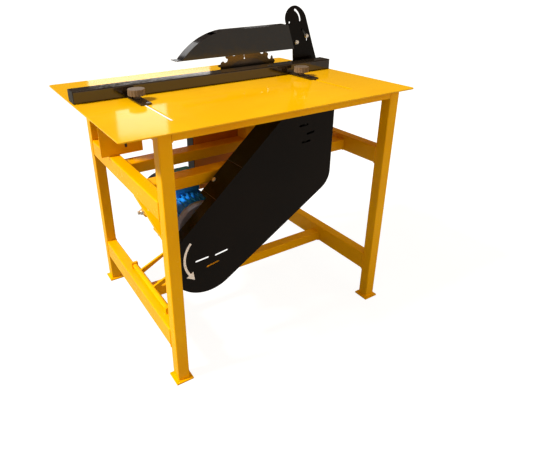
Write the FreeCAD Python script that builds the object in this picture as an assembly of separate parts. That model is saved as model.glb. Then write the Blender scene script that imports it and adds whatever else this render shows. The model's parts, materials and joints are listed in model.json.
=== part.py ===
import FreeCAD, Part
import math
import os
from FreeCAD import Vector

# Masonry saw of the table kind, in millimetres.  +X is the feed direction, from the
# operator's end to the right-hand end, +Y is the back and +Z is up.  The origin is on the floor
# under the middle of the table sheet.

# ---- driving dimensions ----
TABLE_LENGTH = 1040.0
TABLE_DEPTH = 780.0
TABLE_HEIGHT = 850.0
SHEET = 4.0                     # table sheet
TUBE = 40.0                     # side of the square legs, depth of every side rail
WALL = 3.0                      # tube wall
TUBE_ROUND = 4.0                # outer corner radius of a tube
LEFT_OVERHANG = 107.0           # table edge to the leg's outer face, at each end and side
RIGHT_OVERHANG = 54.0
FRONT_OVERHANG = 17.0
BACK_OVERHANG = 39.0
FOOT = 60.0                     # foot plate side
FOOT_THICK = 6.0
TOP_RAIL_HEIGHT = 25.0
TOP_RAIL_DEPTH = 30.0
UPPER_RAIL_DROP = 210.0         # rail top under the table
UPPER_RAIL_HEIGHT = 60.0
LOWER_RAIL_TOP = 192.0
LOWER_RAIL_HEIGHT = 70.0
BEAM_DEPTH = 60.0               # the two long beams that carry the arbor
BEAM_HEIGHT = 40.0
BEAM_DROP = 18.0                # beam top below the upper rails' top
FRONT_BEAM_Y = -170.0           # front faces of the two beams
BACK_BEAM_Y = 40.0
STRETCHER_Y = -65.0
STRETCHER_DEPTH = 45.0

BLADE_RADIUS = 175.0
BLADE_X = 177.0
BLADE_Y = 130.0
BLADE_BELOW_TABLE = 68.0        # arbor axis under the table's upper face
BLADE_PLATE = 2.4
KERF = 3.4
TEETH = 24
SHAFT_RADIUS = 15.0
RUNNING_FIT = 0.05
LOOSE = 0.3                     # gap between faces that pass each other

FENCE_Y = 42.0                  # front face of the fence tube as it stands
FENCE_DEPTH = 60.0
FENCE_HEIGHT = 39.0
FENCE_SLOT_X = 330.0            # the two table slots stand at plus and minus this
FENCE_SLOT_FRONT = -280.0
FENCE_BACKWARD = 16.0           # travel left towards the blade
STRAP_WIDTH = 36.0
STRAP_THICK = 6.0
STRAP_FRONT = -92.0
STUD_Y = -12.0
STUD_RADIUS = 5.0
KNOB_RADIUS = 28.0
KNOB_HEIGHT = 20.0

MOTOR_X = -212.0
MOTOR_Z = 437.0
MOTOR_FRONT = -190.0            # outer face of the front end shield
MOTOR_RADIUS = 95.0             # over the ribs
MOTOR_CORE = 83.0
MOTOR_LENGTH = 230.0            # ribbed barrel
SHIELD_THICK = 20.0
FAN_COVER_LENGTH = 65.0
MOTOR_SHAFT_RADIUS = 14.0
FOOT_HEIGHT = 100.0             # motor axis over its feet

GUARD_FRONT = -290.0
GUARD_DEPTH = 90.0              # round the arbor pulley
GUARD_SHALLOW = 45.0            # round the motor pulley, where its back is open
GUARD_STEP = 415.0              # where the depth changes, down the upper edge from its top
GUARD_SHEET = 2.0
GUARD_RIGHT = 254.0
GUARD_END_X = -245.0            # centre of the guard's round lower end
GUARD_END_Z = 385.0
GUARD_END_RADIUS = 134.0
GUARD_UPPER_RUN = 524.7         # level run of each sloping edge over the guard's whole rise
GUARD_LOWER_RUN = 746.4
GUARD_UPPER_OFFSET = 120.0      # round end's centre to the sloping upper edge
GUARD_CORNER = 72.0

ARBOR_GROOVE = 36.0             # radius of the groove floor on each pulley
MOTOR_GROOVE = 42.0
BELT_WIDTH = 13.0
BELT_THICK = 8.0
BELT_PITCH = 17.0

HOOD_PIVOT_X = 411.0
HOOD_PIVOT_RISE = 104.0         # over the table
HOOD_WIDTH = 48.0
HOOD_SHEET = 2.0
BRACKET_THICK = 4.0
LOCK_RADIUS = 52.4              # pivot hole to the arc slot
LOCK_ANGLE = 23.6
SLOT_LOW = 6.0
SLOT_HIGH = 62.0
UPPER_PIVOT = (-38.0, 77.0)     # spare pivot hole, measured from the pivot in use

HINGE_INSET = 32.0              # pin that the motor cradle swings on, to the legs' outer face
HINGE_PIN = 6.0
HINGE_BUSH = 10.0
TENSION_Y = -150.0              # rod that pulls the cradle to tighten the belts
TENSION_DROP = 111.0            # rod under the upper rails' top
TENSION_RADIUS = 6.0

# ---- places worked out from them ----
X_LEFT = -TABLE_LENGTH / 2
X_RIGHT = TABLE_LENGTH / 2
Y_FRONT = -TABLE_DEPTH / 2
Y_BACK = TABLE_DEPTH / 2
UNDER_SHEET = TABLE_HEIGHT - SHEET
UPPER_RAIL_TOP = TABLE_HEIGHT - UPPER_RAIL_DROP
HOOD_PIVOT_Z = TABLE_HEIGHT + HOOD_PIVOT_RISE
LEG_LEFT = X_LEFT + LEFT_OVERHANG
LEG_RIGHT = X_RIGHT - RIGHT_OVERHANG - TUBE
LEG_FRONT = Y_FRONT + FRONT_OVERHANG
LEG_BACK = Y_BACK - BACK_OVERHANG - TUBE
INNER_LEFT = LEG_LEFT + TUBE
INNER_RIGHT = LEG_RIGHT
BEAM_TOP = UPPER_RAIL_TOP - BEAM_DROP
ARBOR_Z = TABLE_HEIGHT - BLADE_BELOW_TABLE
HINGE_X = LEG_LEFT + HINGE_INSET
HINGE_Z = LOWER_RAIL_TOP + HINGE_BUSH + 1.0
GUARD_BACK = GUARD_FRONT + GUARD_DEPTH
TENSION_Z = UPPER_RAIL_TOP - TENSION_DROP
GUARD_RISE = UNDER_SHEET - GUARD_END_Z
GUARD_UPPER_SLOPE = math.degrees(math.atan(GUARD_RISE / GUARD_UPPER_RUN))
GUARD_LOWER_SLOPE = math.degrees(math.atan(GUARD_RISE / GUARD_LOWER_RUN))
BELT_MIDDLE = GUARD_FRONT + GUARD_SHALLOW / 2 + 1.5
BARREL_FRONT = MOTOR_FRONT + SHIELD_THICK
BARREL_BACK = BARREL_FRONT + MOTOR_LENGTH
PLATE_TOP = MOTOR_Z - FOOT_HEIGHT
PLATE_THICK = 6.0

SOLIDS = {}


# ---- shapes used all over ----
def box(x0, x1, y0, y1, z0, z1):
    return Part.makeBox(x1 - x0, y1 - y0, z1 - z0, Vector(x0, y0, z0))


def rod_y(x, z, radius, y0, y1):
    return Part.makeCylinder(radius, y1 - y0, Vector(x, y0, z), Vector(0, 1, 0))


def rod_x(y, z, radius, x0, x1):
    return Part.makeCylinder(radius, x1 - x0, Vector(x0, y, z), Vector(1, 0, 0))


def rod_z(x, y, radius, z0, z1):
    return Part.makeCylinder(radius, z1 - z0, Vector(x, y, z0), Vector(0, 0, 1))


def ring_y(x, z, outer, bore, y0, y1):
    return rod_y(x, z, outer, y0, y1).cut(rod_y(x, z, bore, y0 - 1, y1 + 1))


def tube(x0, x1, y0, y1, z0, z1, axis):
    """Rectangular tube with round outer corners, open at both ends along axis."""
    outer = box(x0, x1, y0, y1, z0, z1)
    along = {"x": Vector(1, 0, 0), "y": Vector(0, 1, 0), "z": Vector(0, 0, 1)}[axis]
    long_edges = [e for e in outer.Edges if abs(e.tangentAt(e.FirstParameter).dot(along)) > 0.9]
    outer = outer.makeFillet(TUBE_ROUND, long_edges)
    inset = {n: (0.0 if n == axis else WALL) for n in "xyz"}
    inner = box(x0 + inset["x"], x1 - inset["x"], y0 + inset["y"], y1 - inset["y"],
                z0 + inset["z"], z1 - inset["z"])
    return outer.cut(inner)


def polar(x, z, radius, degrees):
    turn = math.radians(degrees)
    return (x + radius * math.cos(turn), z + radius * math.sin(turn))


def at(point, y):
    return Vector(point[0], y, point[1])


def outline(steps, y):
    """Closed wire in the XZ plane.  A step is a point, or (via, end) for an arc."""
    start = steps[0]
    edges = []
    here = start
    for step in steps[1:] + [start]:
        if isinstance(step[0], tuple):
            edges.append(Part.Arc(at(here, y), at(step[0], y), at(step[1], y)).toShape())
            here = step[1]
        else:
            if math.dist(here, step) > 1e-6:
                edges.append(Part.LineSegment(at(here, y), at(step, y)).toShape())
            here = step
    return Part.Wire(edges)


def slab(steps, y0, y1):
    return Part.Face(outline(steps, y0)).extrude(Vector(0, y1 - y0, 0))


def arc_slot(x, z, radius, low, high, half_width, y0, y1):
    middle = (low + high) / 2
    steps = [
        polar(x, z, radius - half_width, low),
        (polar(x, z, radius - half_width, middle), polar(x, z, radius - half_width, high)),
        (polar(*polar(x, z, radius, high), half_width, high + 90),
         polar(x, z, radius + half_width, high)),
        (polar(x, z, radius + half_width, middle), polar(x, z, radius + half_width, low)),
        (polar(*polar(x, z, radius, low), half_width, low - 90),
         polar(x, z, radius - half_width, low)),
    ]
    return slab(steps, y0, y1)


def hex_bar(origin, direction, across, length):
    base = Part.makePolygon([
        Vector(across / math.sqrt(3) * math.cos(math.radians(60 * i)),
               across / math.sqrt(3) * math.sin(math.radians(60 * i)), 0) for i in range(7)])
    prism = Part.Face(base).extrude(Vector(0, 0, length))
    prism.Placement = FreeCAD.Placement(
        origin, FreeCAD.Rotation(Vector(0, 0, 1), direction))
    return prism


# ---- frame ----
def leg(x, y):
    return tube(x, x + TUBE, y, y + TUBE, FOOT_THICK, UNDER_SHEET, "z")


def foot_plates():
    spill = (FOOT - TUBE) / 2
    plates = []
    for x in (LEG_LEFT, LEG_RIGHT):
        for y in (LEG_FRONT, LEG_BACK):
            plates.append(box(x - spill, x + TUBE + spill, y - spill, y + TUBE + spill,
                              0, FOOT_THICK))
    return plates


def side_rail(x, top, height):
    return tube(x, x + TUBE, LEG_FRONT + TUBE, LEG_BACK, top - height, top, "y")


def long_top_rail(y):
    return tube(INNER_LEFT, INNER_RIGHT, y, y + TOP_RAIL_DEPTH,
                UNDER_SHEET - TOP_RAIL_HEIGHT, UNDER_SHEET, "x")


def side_top_rails():
    rails = []
    for x in (LEG_LEFT, LEG_RIGHT + TUBE - TOP_RAIL_DEPTH):
        rails.append(tube(x, x + TOP_RAIL_DEPTH, LEG_FRONT + TUBE, LEG_BACK,
                          UNDER_SHEET - TOP_RAIL_HEIGHT, UNDER_SHEET, "y"))
    return rails


def beam(y):
    return tube(INNER_LEFT, INNER_RIGHT, y, y + BEAM_DEPTH, BEAM_TOP - BEAM_HEIGHT, BEAM_TOP, "x")


def lower_stretcher():
    bottom = LOWER_RAIL_TOP - LOWER_RAIL_HEIGHT
    return tube(INNER_LEFT, INNER_RIGHT, STRETCHER_Y, STRETCHER_Y + STRETCHER_DEPTH,
                bottom, bottom + TUBE, "x")


# ---- table sheet ----
SLOT_HALF = STUD_RADIUS + 0.6
TABLE_CORNER = 12.0
BLADE_SLOT_HALF = 6.0
BLADE_SLOT_SPARE = 9.0
BRACKET_FOOT_X = (HOOD_PIVOT_X - 11.0, HOOD_PIVOT_X + 106.0)
BRACKET_FOOT_DEPTH = 42.0
BRACKET_BOLT_X = (HOOD_PIVOT_X + 4.0, HOOD_PIVOT_X + 89.0)
BOLT_RADIUS = 5.0
BOLT_HEX = 17.0
BOLT_HEAD = 6.5
BOLT_GAP = 0.4


def bracket_bolt_y():
    return BLADE_Y + BRACKET_THICK / 2 + BRACKET_FOOT_DEPTH / 2


def fence_slot(x):
    back = STUD_Y + FENCE_BACKWARD + LOOSE
    z0 = UNDER_SHEET - 1
    z1 = TABLE_HEIGHT + 1
    slot = box(x - SLOT_HALF, x + SLOT_HALF, FENCE_SLOT_FRONT, back, z0, z1)
    for y in (FENCE_SLOT_FRONT, back):
        slot = slot.fuse(rod_z(x, y, SLOT_HALF, z0, z1))
    return slot


def table_top():
    sheet = box(X_LEFT, X_RIGHT, Y_FRONT, Y_BACK, UNDER_SHEET, TABLE_HEIGHT)
    corners = [e for e in sheet.Edges if abs(e.tangentAt(e.FirstParameter).z) > 0.9]
    sheet = sheet.makeFillet(TABLE_CORNER, corners)
    for x in (-FENCE_SLOT_X, FENCE_SLOT_X):
        sheet = sheet.cut(fence_slot(x))
    half_chord = math.sqrt(BLADE_RADIUS ** 2 - (BLADE_BELOW_TABLE - SHEET) ** 2)
    reach = half_chord + BLADE_SLOT_SPARE
    sheet = sheet.cut(box(BLADE_X - reach, BLADE_X + reach, BLADE_Y - BLADE_SLOT_HALF,
                          BLADE_Y + BLADE_SLOT_HALF, UNDER_SHEET - 1, TABLE_HEIGHT + 1))
    for x in BRACKET_BOLT_X:
        sheet = sheet.cut(rod_z(x, bracket_bolt_y(), BOLT_RADIUS + BOLT_GAP,
                                UNDER_SHEET - 1, TABLE_HEIGHT + 1))
    return sheet


# ---- arbor, its bearings and the blade ----
PEDESTAL_WIDTH = 132.0
PEDESTAL_WALL = 5.0
PEDESTAL_CAP = 8.0
BEARING_HEIGHT = 43.0           # shaft axis over the bearing's base
BEARING_WIDTH = 38.0
BEARING_BASE = 14.0
BEARING_RADIUS = 34.0
BEARING_BOLTS = 49.0            # bolt to shaft, along X
BEARING_BASE_Z = ARBOR_Z - BEARING_HEIGHT
FLANGE_RADIUS = 40.0
FLANGE_THICK = 8.0
NUT_HEX = 46.0
NUT_THICK = 12.0
PULLEY_RIM = 10.0               # how far a pulley stands over its groove floor
PULLEY_WIDTH = 36.0
FIRST_TOOTH = 4.0               # degrees above +X
TOOTH_PROFILE = {               # depth under the tip circle, degrees past the tip
    "face_foot": (14.0, -1.2),
    "gullet": (19.0, 2.4),
    "gullet_end": (6.0, 5.6),
    "shoulder": (3.5, 9.4),
    "dip": (7.0, 10.8),
    "back": (1.6, 12.8),
}
SLOT_MOUTH = 12.0               # expansion slot's outer end under the tip circle
SLOT_LEAD = 2.0                 # degrees from a tip to the slot
SLOT_END_RADIUS = 3.0
CARBIDE_LONG = 9.0
CARBIDE_THICK = 2.6
EXPANSION_INNER = BLADE_RADIUS - 42.0


def beam_middles():
    return (FRONT_BEAM_Y + BEAM_DEPTH / 2, BACK_BEAM_Y + BEAM_DEPTH / 2)


def pedestals():
    solids = []
    for y in beam_middles():
        half = PEDESTAL_WIDTH / 2
        body = box(BLADE_X - half, BLADE_X + half, y - BEAM_DEPTH / 2, y + BEAM_DEPTH / 2,
                   BEAM_TOP, BEARING_BASE_Z)
        inside = box(BLADE_X - half + PEDESTAL_WALL, BLADE_X + half - PEDESTAL_WALL,
                     y - BEAM_DEPTH / 2 + PEDESTAL_WALL, y + BEAM_DEPTH / 2 - PEDESTAL_WALL,
                     BEAM_TOP - 1, BEARING_BASE_Z - PEDESTAL_CAP)
        body = body.cut(inside)
        for x in (BLADE_X - BEARING_BOLTS, BLADE_X + BEARING_BOLTS):
            body = body.cut(rod_z(x, y, BOLT_RADIUS + BOLT_GAP, BEAM_TOP, BEARING_BASE_Z + 1))
        solids.append(body)
    return solids


def pillow_block(y):
    half = PEDESTAL_WIDTH / 2
    wide = BEARING_WIDTH / 2
    block = box(BLADE_X - half, BLADE_X + half, y - wide, y + wide,
                BEARING_BASE_Z, BEARING_BASE_Z + BEARING_BASE)
    block = block.fuse(rod_y(BLADE_X, ARBOR_Z, BEARING_RADIUS, y - wide, y + wide))
    block = block.fuse(box(BLADE_X - BEARING_RADIUS, BLADE_X + BEARING_RADIUS, y - wide, y + wide,
                           BEARING_BASE_Z, ARBOR_Z - BEARING_RADIUS / 2)).removeSplitter()
    block = block.cut(rod_y(BLADE_X, ARBOR_Z, SHAFT_RADIUS + RUNNING_FIT, y - 99, y + 99))
    for x in (BLADE_X - BEARING_BOLTS, BLADE_X + BEARING_BOLTS):
        block = block.cut(rod_z(x, y, BOLT_RADIUS + BOLT_GAP, BEARING_BASE_Z - 1,
                                BEARING_BASE_Z + BEARING_BASE + 1))
    return block


def arbor_shaft():
    end = BLADE_Y + BLADE_PLATE / 2 + FLANGE_THICK + NUT_THICK + 1.5
    return rod_y(BLADE_X, ARBOR_Z, SHAFT_RADIUS, BELT_MIDDLE - PULLEY_WIDTH / 2, end)


def tooth_steps(tip_angle):
    """One tooth from its tip: face, round gullet, chip-limiting shoulder, back."""
    place = {name: polar(BLADE_X, ARBOR_Z, BLADE_RADIUS - depth, tip_angle + past)
             for name, (depth, past) in TOOTH_PROFILE.items()}
    return [polar(BLADE_X, ARBOR_Z, BLADE_RADIUS, tip_angle), place["face_foot"],
            (place["gullet"], place["gullet_end"]), place["shoulder"], place["dip"],
            place["back"]]


def saw_blade():
    pitch = 360.0 / TEETH
    steps = []
    for i in range(TEETH):
        steps += tooth_steps(FIRST_TOOTH + i * pitch)
    half = BLADE_PLATE / 2
    blade = slab(steps, BLADE_Y - half, BLADE_Y + half)
    tips = []
    for i in range(TEETH):
        turn = FIRST_TOOTH + i * pitch
        tip = box(BLADE_RADIUS - CARBIDE_LONG, BLADE_RADIUS, BLADE_Y - KERF / 2,
                  BLADE_Y + KERF / 2, -CARBIDE_THICK, 0)
        tip.translate(Vector(BLADE_X, 0, ARBOR_Z))
        tip.rotate(Vector(BLADE_X, 0, ARBOR_Z), Vector(0, -1, 0), turn)
        tips.append(tip)
    blade = blade.fuse(tips)
    for quarter in range(4):
        turn = FIRST_TOOTH + SLOT_LEAD + quarter * 90.0
        cut = box(EXPANSION_INNER, BLADE_RADIUS - SLOT_MOUTH, BLADE_Y - 9, BLADE_Y + 9, -1.0, 1.0)
        cut = cut.fuse(rod_y(EXPANSION_INNER, 0, SLOT_END_RADIUS, BLADE_Y - 9, BLADE_Y + 9))
        cut.translate(Vector(BLADE_X, 0, ARBOR_Z))
        cut.rotate(Vector(BLADE_X, 0, ARBOR_Z), Vector(0, -1, 0), turn)
        blade = blade.cut(cut)
    return blade.cut(rod_y(BLADE_X, ARBOR_Z, SHAFT_RADIUS, BLADE_Y - 9, BLADE_Y + 9))




def flange(y0, y1, recess_side):
    """Blade flange with a relieved middle, so that it grips on its rim."""
    body = ring_y(BLADE_X, ARBOR_Z, FLANGE_RADIUS, SHAFT_RADIUS, y0, y1)
    relief = 2.0
    if recess_side > 0:
        y_low = y1 - relief
    else:
        y_low = y0 - 1.0
    return body.cut(rod_y(BLADE_X, ARBOR_Z, FLANGE_RADIUS - 12.0, y_low, y_low + relief + 1.0))


def arbor_nut():
    y0 = BLADE_Y + BLADE_PLATE / 2 + FLANGE_THICK
    nut = hex_bar(Vector(BLADE_X, y0, ARBOR_Z), Vector(0, 1, 0), NUT_HEX, NUT_THICK)
    return nut.cut(rod_y(BLADE_X, ARBOR_Z, SHAFT_RADIUS, y0 - 1, y0 + NUT_THICK + 1))


def belt_planes():
    return (BELT_MIDDLE - BELT_PITCH / 2, BELT_MIDDLE + BELT_PITCH / 2)


def pulley(x, z, groove, bore):
    y0 = BELT_MIDDLE - PULLEY_WIDTH / 2
    y1 = BELT_MIDDLE + PULLEY_WIDTH / 2
    wheel = ring_y(x, z, groove + PULLEY_RIM, bore, y0, y1)
    for y in belt_planes():
        half = BELT_WIDTH / 2 + LOOSE
        wheel = wheel.cut(ring_y(x, z, groove + PULLEY_RIM + 1, groove, y - half, y + half))
    return wheel


def belt_loop(offset, y0, y1):
    """Solid over both pulleys at a given distance off their groove floors."""
    r_low = MOTOR_GROOVE + offset
    r_high = ARBOR_GROOVE + offset
    dx = BLADE_X - MOTOR_X
    dz = ARBOR_Z - MOTOR_Z
    lean = math.degrees(math.atan2(dz, dx))
    open_angle = math.degrees(math.acos((r_low - r_high) / math.hypot(dx, dz)))
    upper = lean + open_angle
    lower = lean - open_angle
    steps = [
        polar(MOTOR_X, MOTOR_Z, r_low, upper),
        (polar(MOTOR_X, MOTOR_Z, r_low, lean + 180), polar(MOTOR_X, MOTOR_Z, r_low, lower)),
        polar(BLADE_X, ARBOR_Z, r_high, lower),
        (polar(BLADE_X, ARBOR_Z, r_high, lean), polar(BLADE_X, ARBOR_Z, r_high, upper)),
    ]
    return slab(steps, y0, y1)


def belt(y):
    half = BELT_WIDTH / 2
    outer = belt_loop(LOOSE + BELT_THICK, y - half, y + half)
    return outer.cut(belt_loop(LOOSE, y - half - 1, y + half + 1))


# ---- blade housing under the table, with the dust chute ----
HOUSING_FRONT = BACK_BEAM_Y + BEAM_DEPTH + 3.0
HOUSING_BACK = BLADE_Y + (BLADE_Y - HOUSING_FRONT)
HOUSING_SHEET = 2.0
HOUSING_LEFT = -85.0
HOUSING_RIGHT = BLADE_X + BLADE_RADIUS + 28.0
HOUSING_BOTTOM = ARBOR_Z - BLADE_RADIUS - 14.0
CHUTE_BOTTOM = 430.0
CHUTE_RIGHT = 110.0
HOUSING_CORNER = 60.0


def housing_steps(inset):
    return [
        (HOUSING_LEFT, UNDER_SHEET),
        (HOUSING_LEFT, CHUTE_BOTTOM),
        (CHUTE_RIGHT - inset, CHUTE_BOTTOM),
        (CHUTE_RIGHT - inset, HOUSING_BOTTOM + inset),
        (HOUSING_RIGHT - HOUSING_CORNER - inset / 2, HOUSING_BOTTOM + inset),
        (HOUSING_RIGHT - inset, HOUSING_BOTTOM + HOUSING_CORNER + inset / 2),
        (HOUSING_RIGHT - inset, UNDER_SHEET),
    ]


def blade_housing():
    shell = slab(housing_steps(0.0), HOUSING_FRONT, HOUSING_BACK)
    room = slab(housing_steps(HOUSING_SHEET), HOUSING_FRONT + HOUSING_SHEET,
                HOUSING_BACK - HOUSING_SHEET)
    shell = shell.cut(room)
    access = FLANGE_RADIUS + 22.0
    return shell.cut(rod_y(BLADE_X, ARBOR_Z, access, HOUSING_FRONT - 1, HOUSING_FRONT + 5))


def housing_end_cover():
    return box(HOUSING_LEFT - HOUSING_SHEET, HOUSING_LEFT, HOUSING_FRONT, HOUSING_BACK,
               CHUTE_BOTTOM, UNDER_SHEET)


# ---- blade hood and its bracket ----
def from_pivot(dx, dz):
    return (HOOD_PIVOT_X + dx, HOOD_PIVOT_Z + dz)


BRACKET_PROFILE = {             # from the hood pivot: along X, up
    "waist": (-17, -14),
    "left_shoulder": (-46, 64),
    "crown_left": (-49, 122),
    "crown_top": (-8, 138),
    "crown_right": (22, 122),
    "right_shoulder": (43, 93),
    "right_upper": (67, 30),
    "right_middle": (85, -18),
    "right_lower": (106, -70),
}


def bracket():
    front = BLADE_Y - BRACKET_THICK / 2
    back = BLADE_Y + BRACKET_THICK / 2
    base = TABLE_HEIGHT
    at_corner = {name: from_pivot(*reach) for name, reach in BRACKET_PROFILE.items()}
    steps = [
        (BRACKET_FOOT_X[0], base),
        at_corner["waist"],
        at_corner["left_shoulder"],
        (at_corner["crown_left"], at_corner["crown_top"]),
        (at_corner["crown_right"], at_corner["right_shoulder"]),
        at_corner["right_upper"],
        at_corner["right_middle"],
        at_corner["right_lower"],
        (BRACKET_FOOT_X[1], base),
    ]
    plate = slab(steps, front, back)
    foot = box(*BRACKET_FOOT_X, back, back + BRACKET_FOOT_DEPTH, base, base + BRACKET_THICK)
    plate = plate.fuse(foot).removeSplitter()
    for x in BRACKET_BOLT_X:
        plate = plate.cut(rod_z(x, bracket_bolt_y(), BOLT_RADIUS + BOLT_GAP, base - 1, base + 9))
    for dx, dz in ((0.0, 0.0), UPPER_PIVOT):
        x, z = from_pivot(dx, dz)
        plate = plate.cut(rod_y(x, z, HOOD_BOLT + LOOSE, front - 1, back + 1))
        plate = plate.cut(arc_slot(x, z, LOCK_RADIUS, SLOT_LOW, SLOT_HIGH, HOOD_BOLT + LOOSE,
                                   front - 1, back + 1))
    return plate


HOOD_BOLT = 4.0
HOOD_TIP_X = HOOD_PIVOT_X - 521.0
NOSE_BELLY = (55.0, 27.0)       # from the tip along X, and over the pivot
NOSE_END = (178.0, 70.0)
HOOD_TAIL_TOP = -60.0           # ends of the box past the pivot, along X
HOOD_TAIL_FOOT = -27.0
HOOD_MOUTH_START = 120.0        # the open underside, from the tip
HOOD_BOTTOM = -21.0             # heights over the pivot
HOOD_TOP = 73.0
HOOD_LUG = 70.0                 # far side plate past the pivot
HOOD_LUG_LOW = -12.0
HOOD_LUG_HIGH = 44.0
HOOD_NOTCH_HALF = 7.0
HOOD_NOTCH_LENGTH = 56.0
HOOD_LIP = 23.0


def hood_steps(inset):
    """Side outline of the hood, without its tail: a long box with a rounded nose."""
    low = HOOD_BOTTOM
    return [
        (HOOD_TIP_X + inset, HOOD_PIVOT_Z + low),
        ((HOOD_TIP_X + NOSE_BELLY[0] + inset, HOOD_PIVOT_Z + NOSE_BELLY[1]),
         (HOOD_TIP_X + NOSE_END[0] + inset / 2, HOOD_PIVOT_Z + NOSE_END[1] - inset)),
        from_pivot(HOOD_TAIL_TOP, HOOD_TOP - inset),
        from_pivot(HOOD_TAIL_FOOT, low),
    ]


def blade_hood():
    y0 = BLADE_Y - HOOD_WIDTH / 2
    y1 = BLADE_Y + HOOD_WIDTH / 2
    shell = slab(hood_steps(0.0), y0, y1)
    room = slab(hood_steps(HOOD_SHEET), y0 + HOOD_SHEET, y1 - HOOD_SHEET)
    open_end = box(HOOD_TIP_X + HOOD_MOUTH_START, HOOD_PIVOT_X, y0 + HOOD_SHEET, y1 - HOOD_SHEET,
                   HOOD_PIVOT_Z + HOOD_BOTTOM - 5, HOOD_PIVOT_Z + HOOD_TOP - 9)
    mouth = box(HOOD_TIP_X + HOOD_SHEET, HOOD_PIVOT_X, y0 + HOOD_SHEET, y1 - HOOD_SHEET,
                HOOD_PIVOT_Z + HOOD_BOTTOM - 5, HOOD_PIVOT_Z + HOOD_BOTTOM + 1)
    shell = shell.cut(room).cut(open_end).cut(mouth)
    notch = box(HOOD_PIVOT_X + HOOD_TAIL_TOP - HOOD_NOTCH_LENGTH, HOOD_PIVOT_X, BLADE_Y - HOOD_NOTCH_HALF,
                BLADE_Y + HOOD_NOTCH_HALF, HOOD_PIVOT_Z, HOOD_PIVOT_Z + HOOD_TOP + 9)
    shell = shell.cut(notch)
    lip = box(HOOD_TIP_X - HOOD_LIP, HOOD_TIP_X + HOOD_SHEET + 1.0, y0, y1,
              HOOD_PIVOT_Z + HOOD_BOTTOM, HOOD_PIVOT_Z + HOOD_BOTTOM + HOOD_SHEET)
    tail = slab([from_pivot(-80, HOOD_BOTTOM), from_pivot(HOOD_LUG, HOOD_LUG_LOW),
                 from_pivot(HOOD_LUG, HOOD_LUG_HIGH), from_pivot(-70, HOOD_TOP - HOOD_SHEET)],
                y1 - HOOD_SHEET, y1)
    shell = shell.fuse([lip, tail]).removeSplitter()
    for x, z in hood_bolt_places():
        shell = shell.cut(rod_y(x, z, HOOD_BOLT, y0, y1 + 1))
    return shell


def hood_bolt_places():
    return (from_pivot(0.0, 0.0), polar(HOOD_PIVOT_X, HOOD_PIVOT_Z, LOCK_RADIUS, LOCK_ANGLE))


def hood_bolts():
    """Two through bolts, each with a washer, a spacer tube and a nut behind the side plate."""
    front = BLADE_Y - BRACKET_THICK / 2 - LOOSE
    back = BLADE_Y + BRACKET_THICK / 2 + LOOSE
    plate_inside = BLADE_Y + HOOD_WIDTH / 2 - HOOD_SHEET
    plate_outside = BLADE_Y + HOOD_WIDTH / 2
    solids = []
    for x, z in hood_bolt_places():
        bolt = rod_y(x, z, HOOD_BOLT, front - 2.0, plate_outside + 9.0)
        bolt = bolt.fuse([
            rod_y(x, z, 8.5, front - 2.0, front),
            hex_bar(Vector(x, front - 7.5, z), Vector(0, 1, 0), 13.0, 5.5),
            rod_y(x, z, 7.0, back, plate_inside),
            hex_bar(Vector(x, plate_outside, z), Vector(0, 1, 0), 13.0, 6.5),
        ]).removeSplitter()
        solids.append(bolt)
    return solids


# ---- rip fence ----
FENCE_FLOOR = TABLE_HEIGHT + LOOSE
CAP_THICK = 2.0
FENCE_END = X_RIGHT - 4.0
KNOB_FLOOR = FENCE_FLOOR + STRAP_THICK + LOOSE
KNOB_HUB = 10.0
STUD_HEAD = 14.0


def fence_tube():
    return tube(-FENCE_END + CAP_THICK, FENCE_END - CAP_THICK, FENCE_Y, FENCE_Y + FENCE_DEPTH,
                FENCE_FLOOR, FENCE_FLOOR + FENCE_HEIGHT, "x")


def fence_end_caps():
    caps = []
    for x in (-FENCE_END, FENCE_END - CAP_THICK):
        caps.append(box(x, x + CAP_THICK, FENCE_Y, FENCE_Y + FENCE_DEPTH,
                        FENCE_FLOOR, FENCE_FLOOR + FENCE_HEIGHT))
    return caps


def fence_straps():
    straps = []
    for x in (-FENCE_SLOT_X, FENCE_SLOT_X):
        strap = box(x - STRAP_WIDTH / 2, x + STRAP_WIDTH / 2, STRAP_FRONT, FENCE_Y,
                    FENCE_FLOOR, FENCE_FLOOR + STRAP_THICK)
        straps.append(strap.cut(rod_z(x, STUD_Y, STUD_RADIUS, FENCE_FLOOR - 1, KNOB_FLOOR)))
    return straps


def clamp_studs():
    studs = []
    for x in (-FENCE_SLOT_X, FENCE_SLOT_X):
        stud = rod_z(x, STUD_Y, STUD_RADIUS, UNDER_SHEET - 7.0, KNOB_FLOOR + KNOB_HUB + 12.0)
        head = rod_z(x, STUD_Y, STUD_HEAD, UNDER_SHEET - 7.0, UNDER_SHEET - LOOSE)
        studs.append(stud.fuse(head).removeSplitter())
    return studs


def clamp_knob(x):
    floor = KNOB_FLOOR + KNOB_HUB
    knob = rod_z(x, STUD_Y, 11.0, KNOB_FLOOR, floor).fuse(
        rod_z(x, STUD_Y, KNOB_RADIUS, floor, floor + KNOB_HEIGHT)).removeSplitter()
    scallops = []
    count = 16
    for i in range(count):
        turn = math.radians(360.0 / count * i)
        scallops.append(rod_z(x + (KNOB_RADIUS + 1.6) * math.cos(turn),
                              STUD_Y + (KNOB_RADIUS + 1.6) * math.sin(turn), 3.4,
                              floor - 1, floor + KNOB_HEIGHT + 1))
    knob = knob.cut(scallops)
    bore_top = KNOB_FLOOR + KNOB_HUB + 13.0
    return knob.cut(rod_z(x, STUD_Y, STUD_RADIUS + RUNNING_FIT, KNOB_FLOOR - 1, bore_top))


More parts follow.
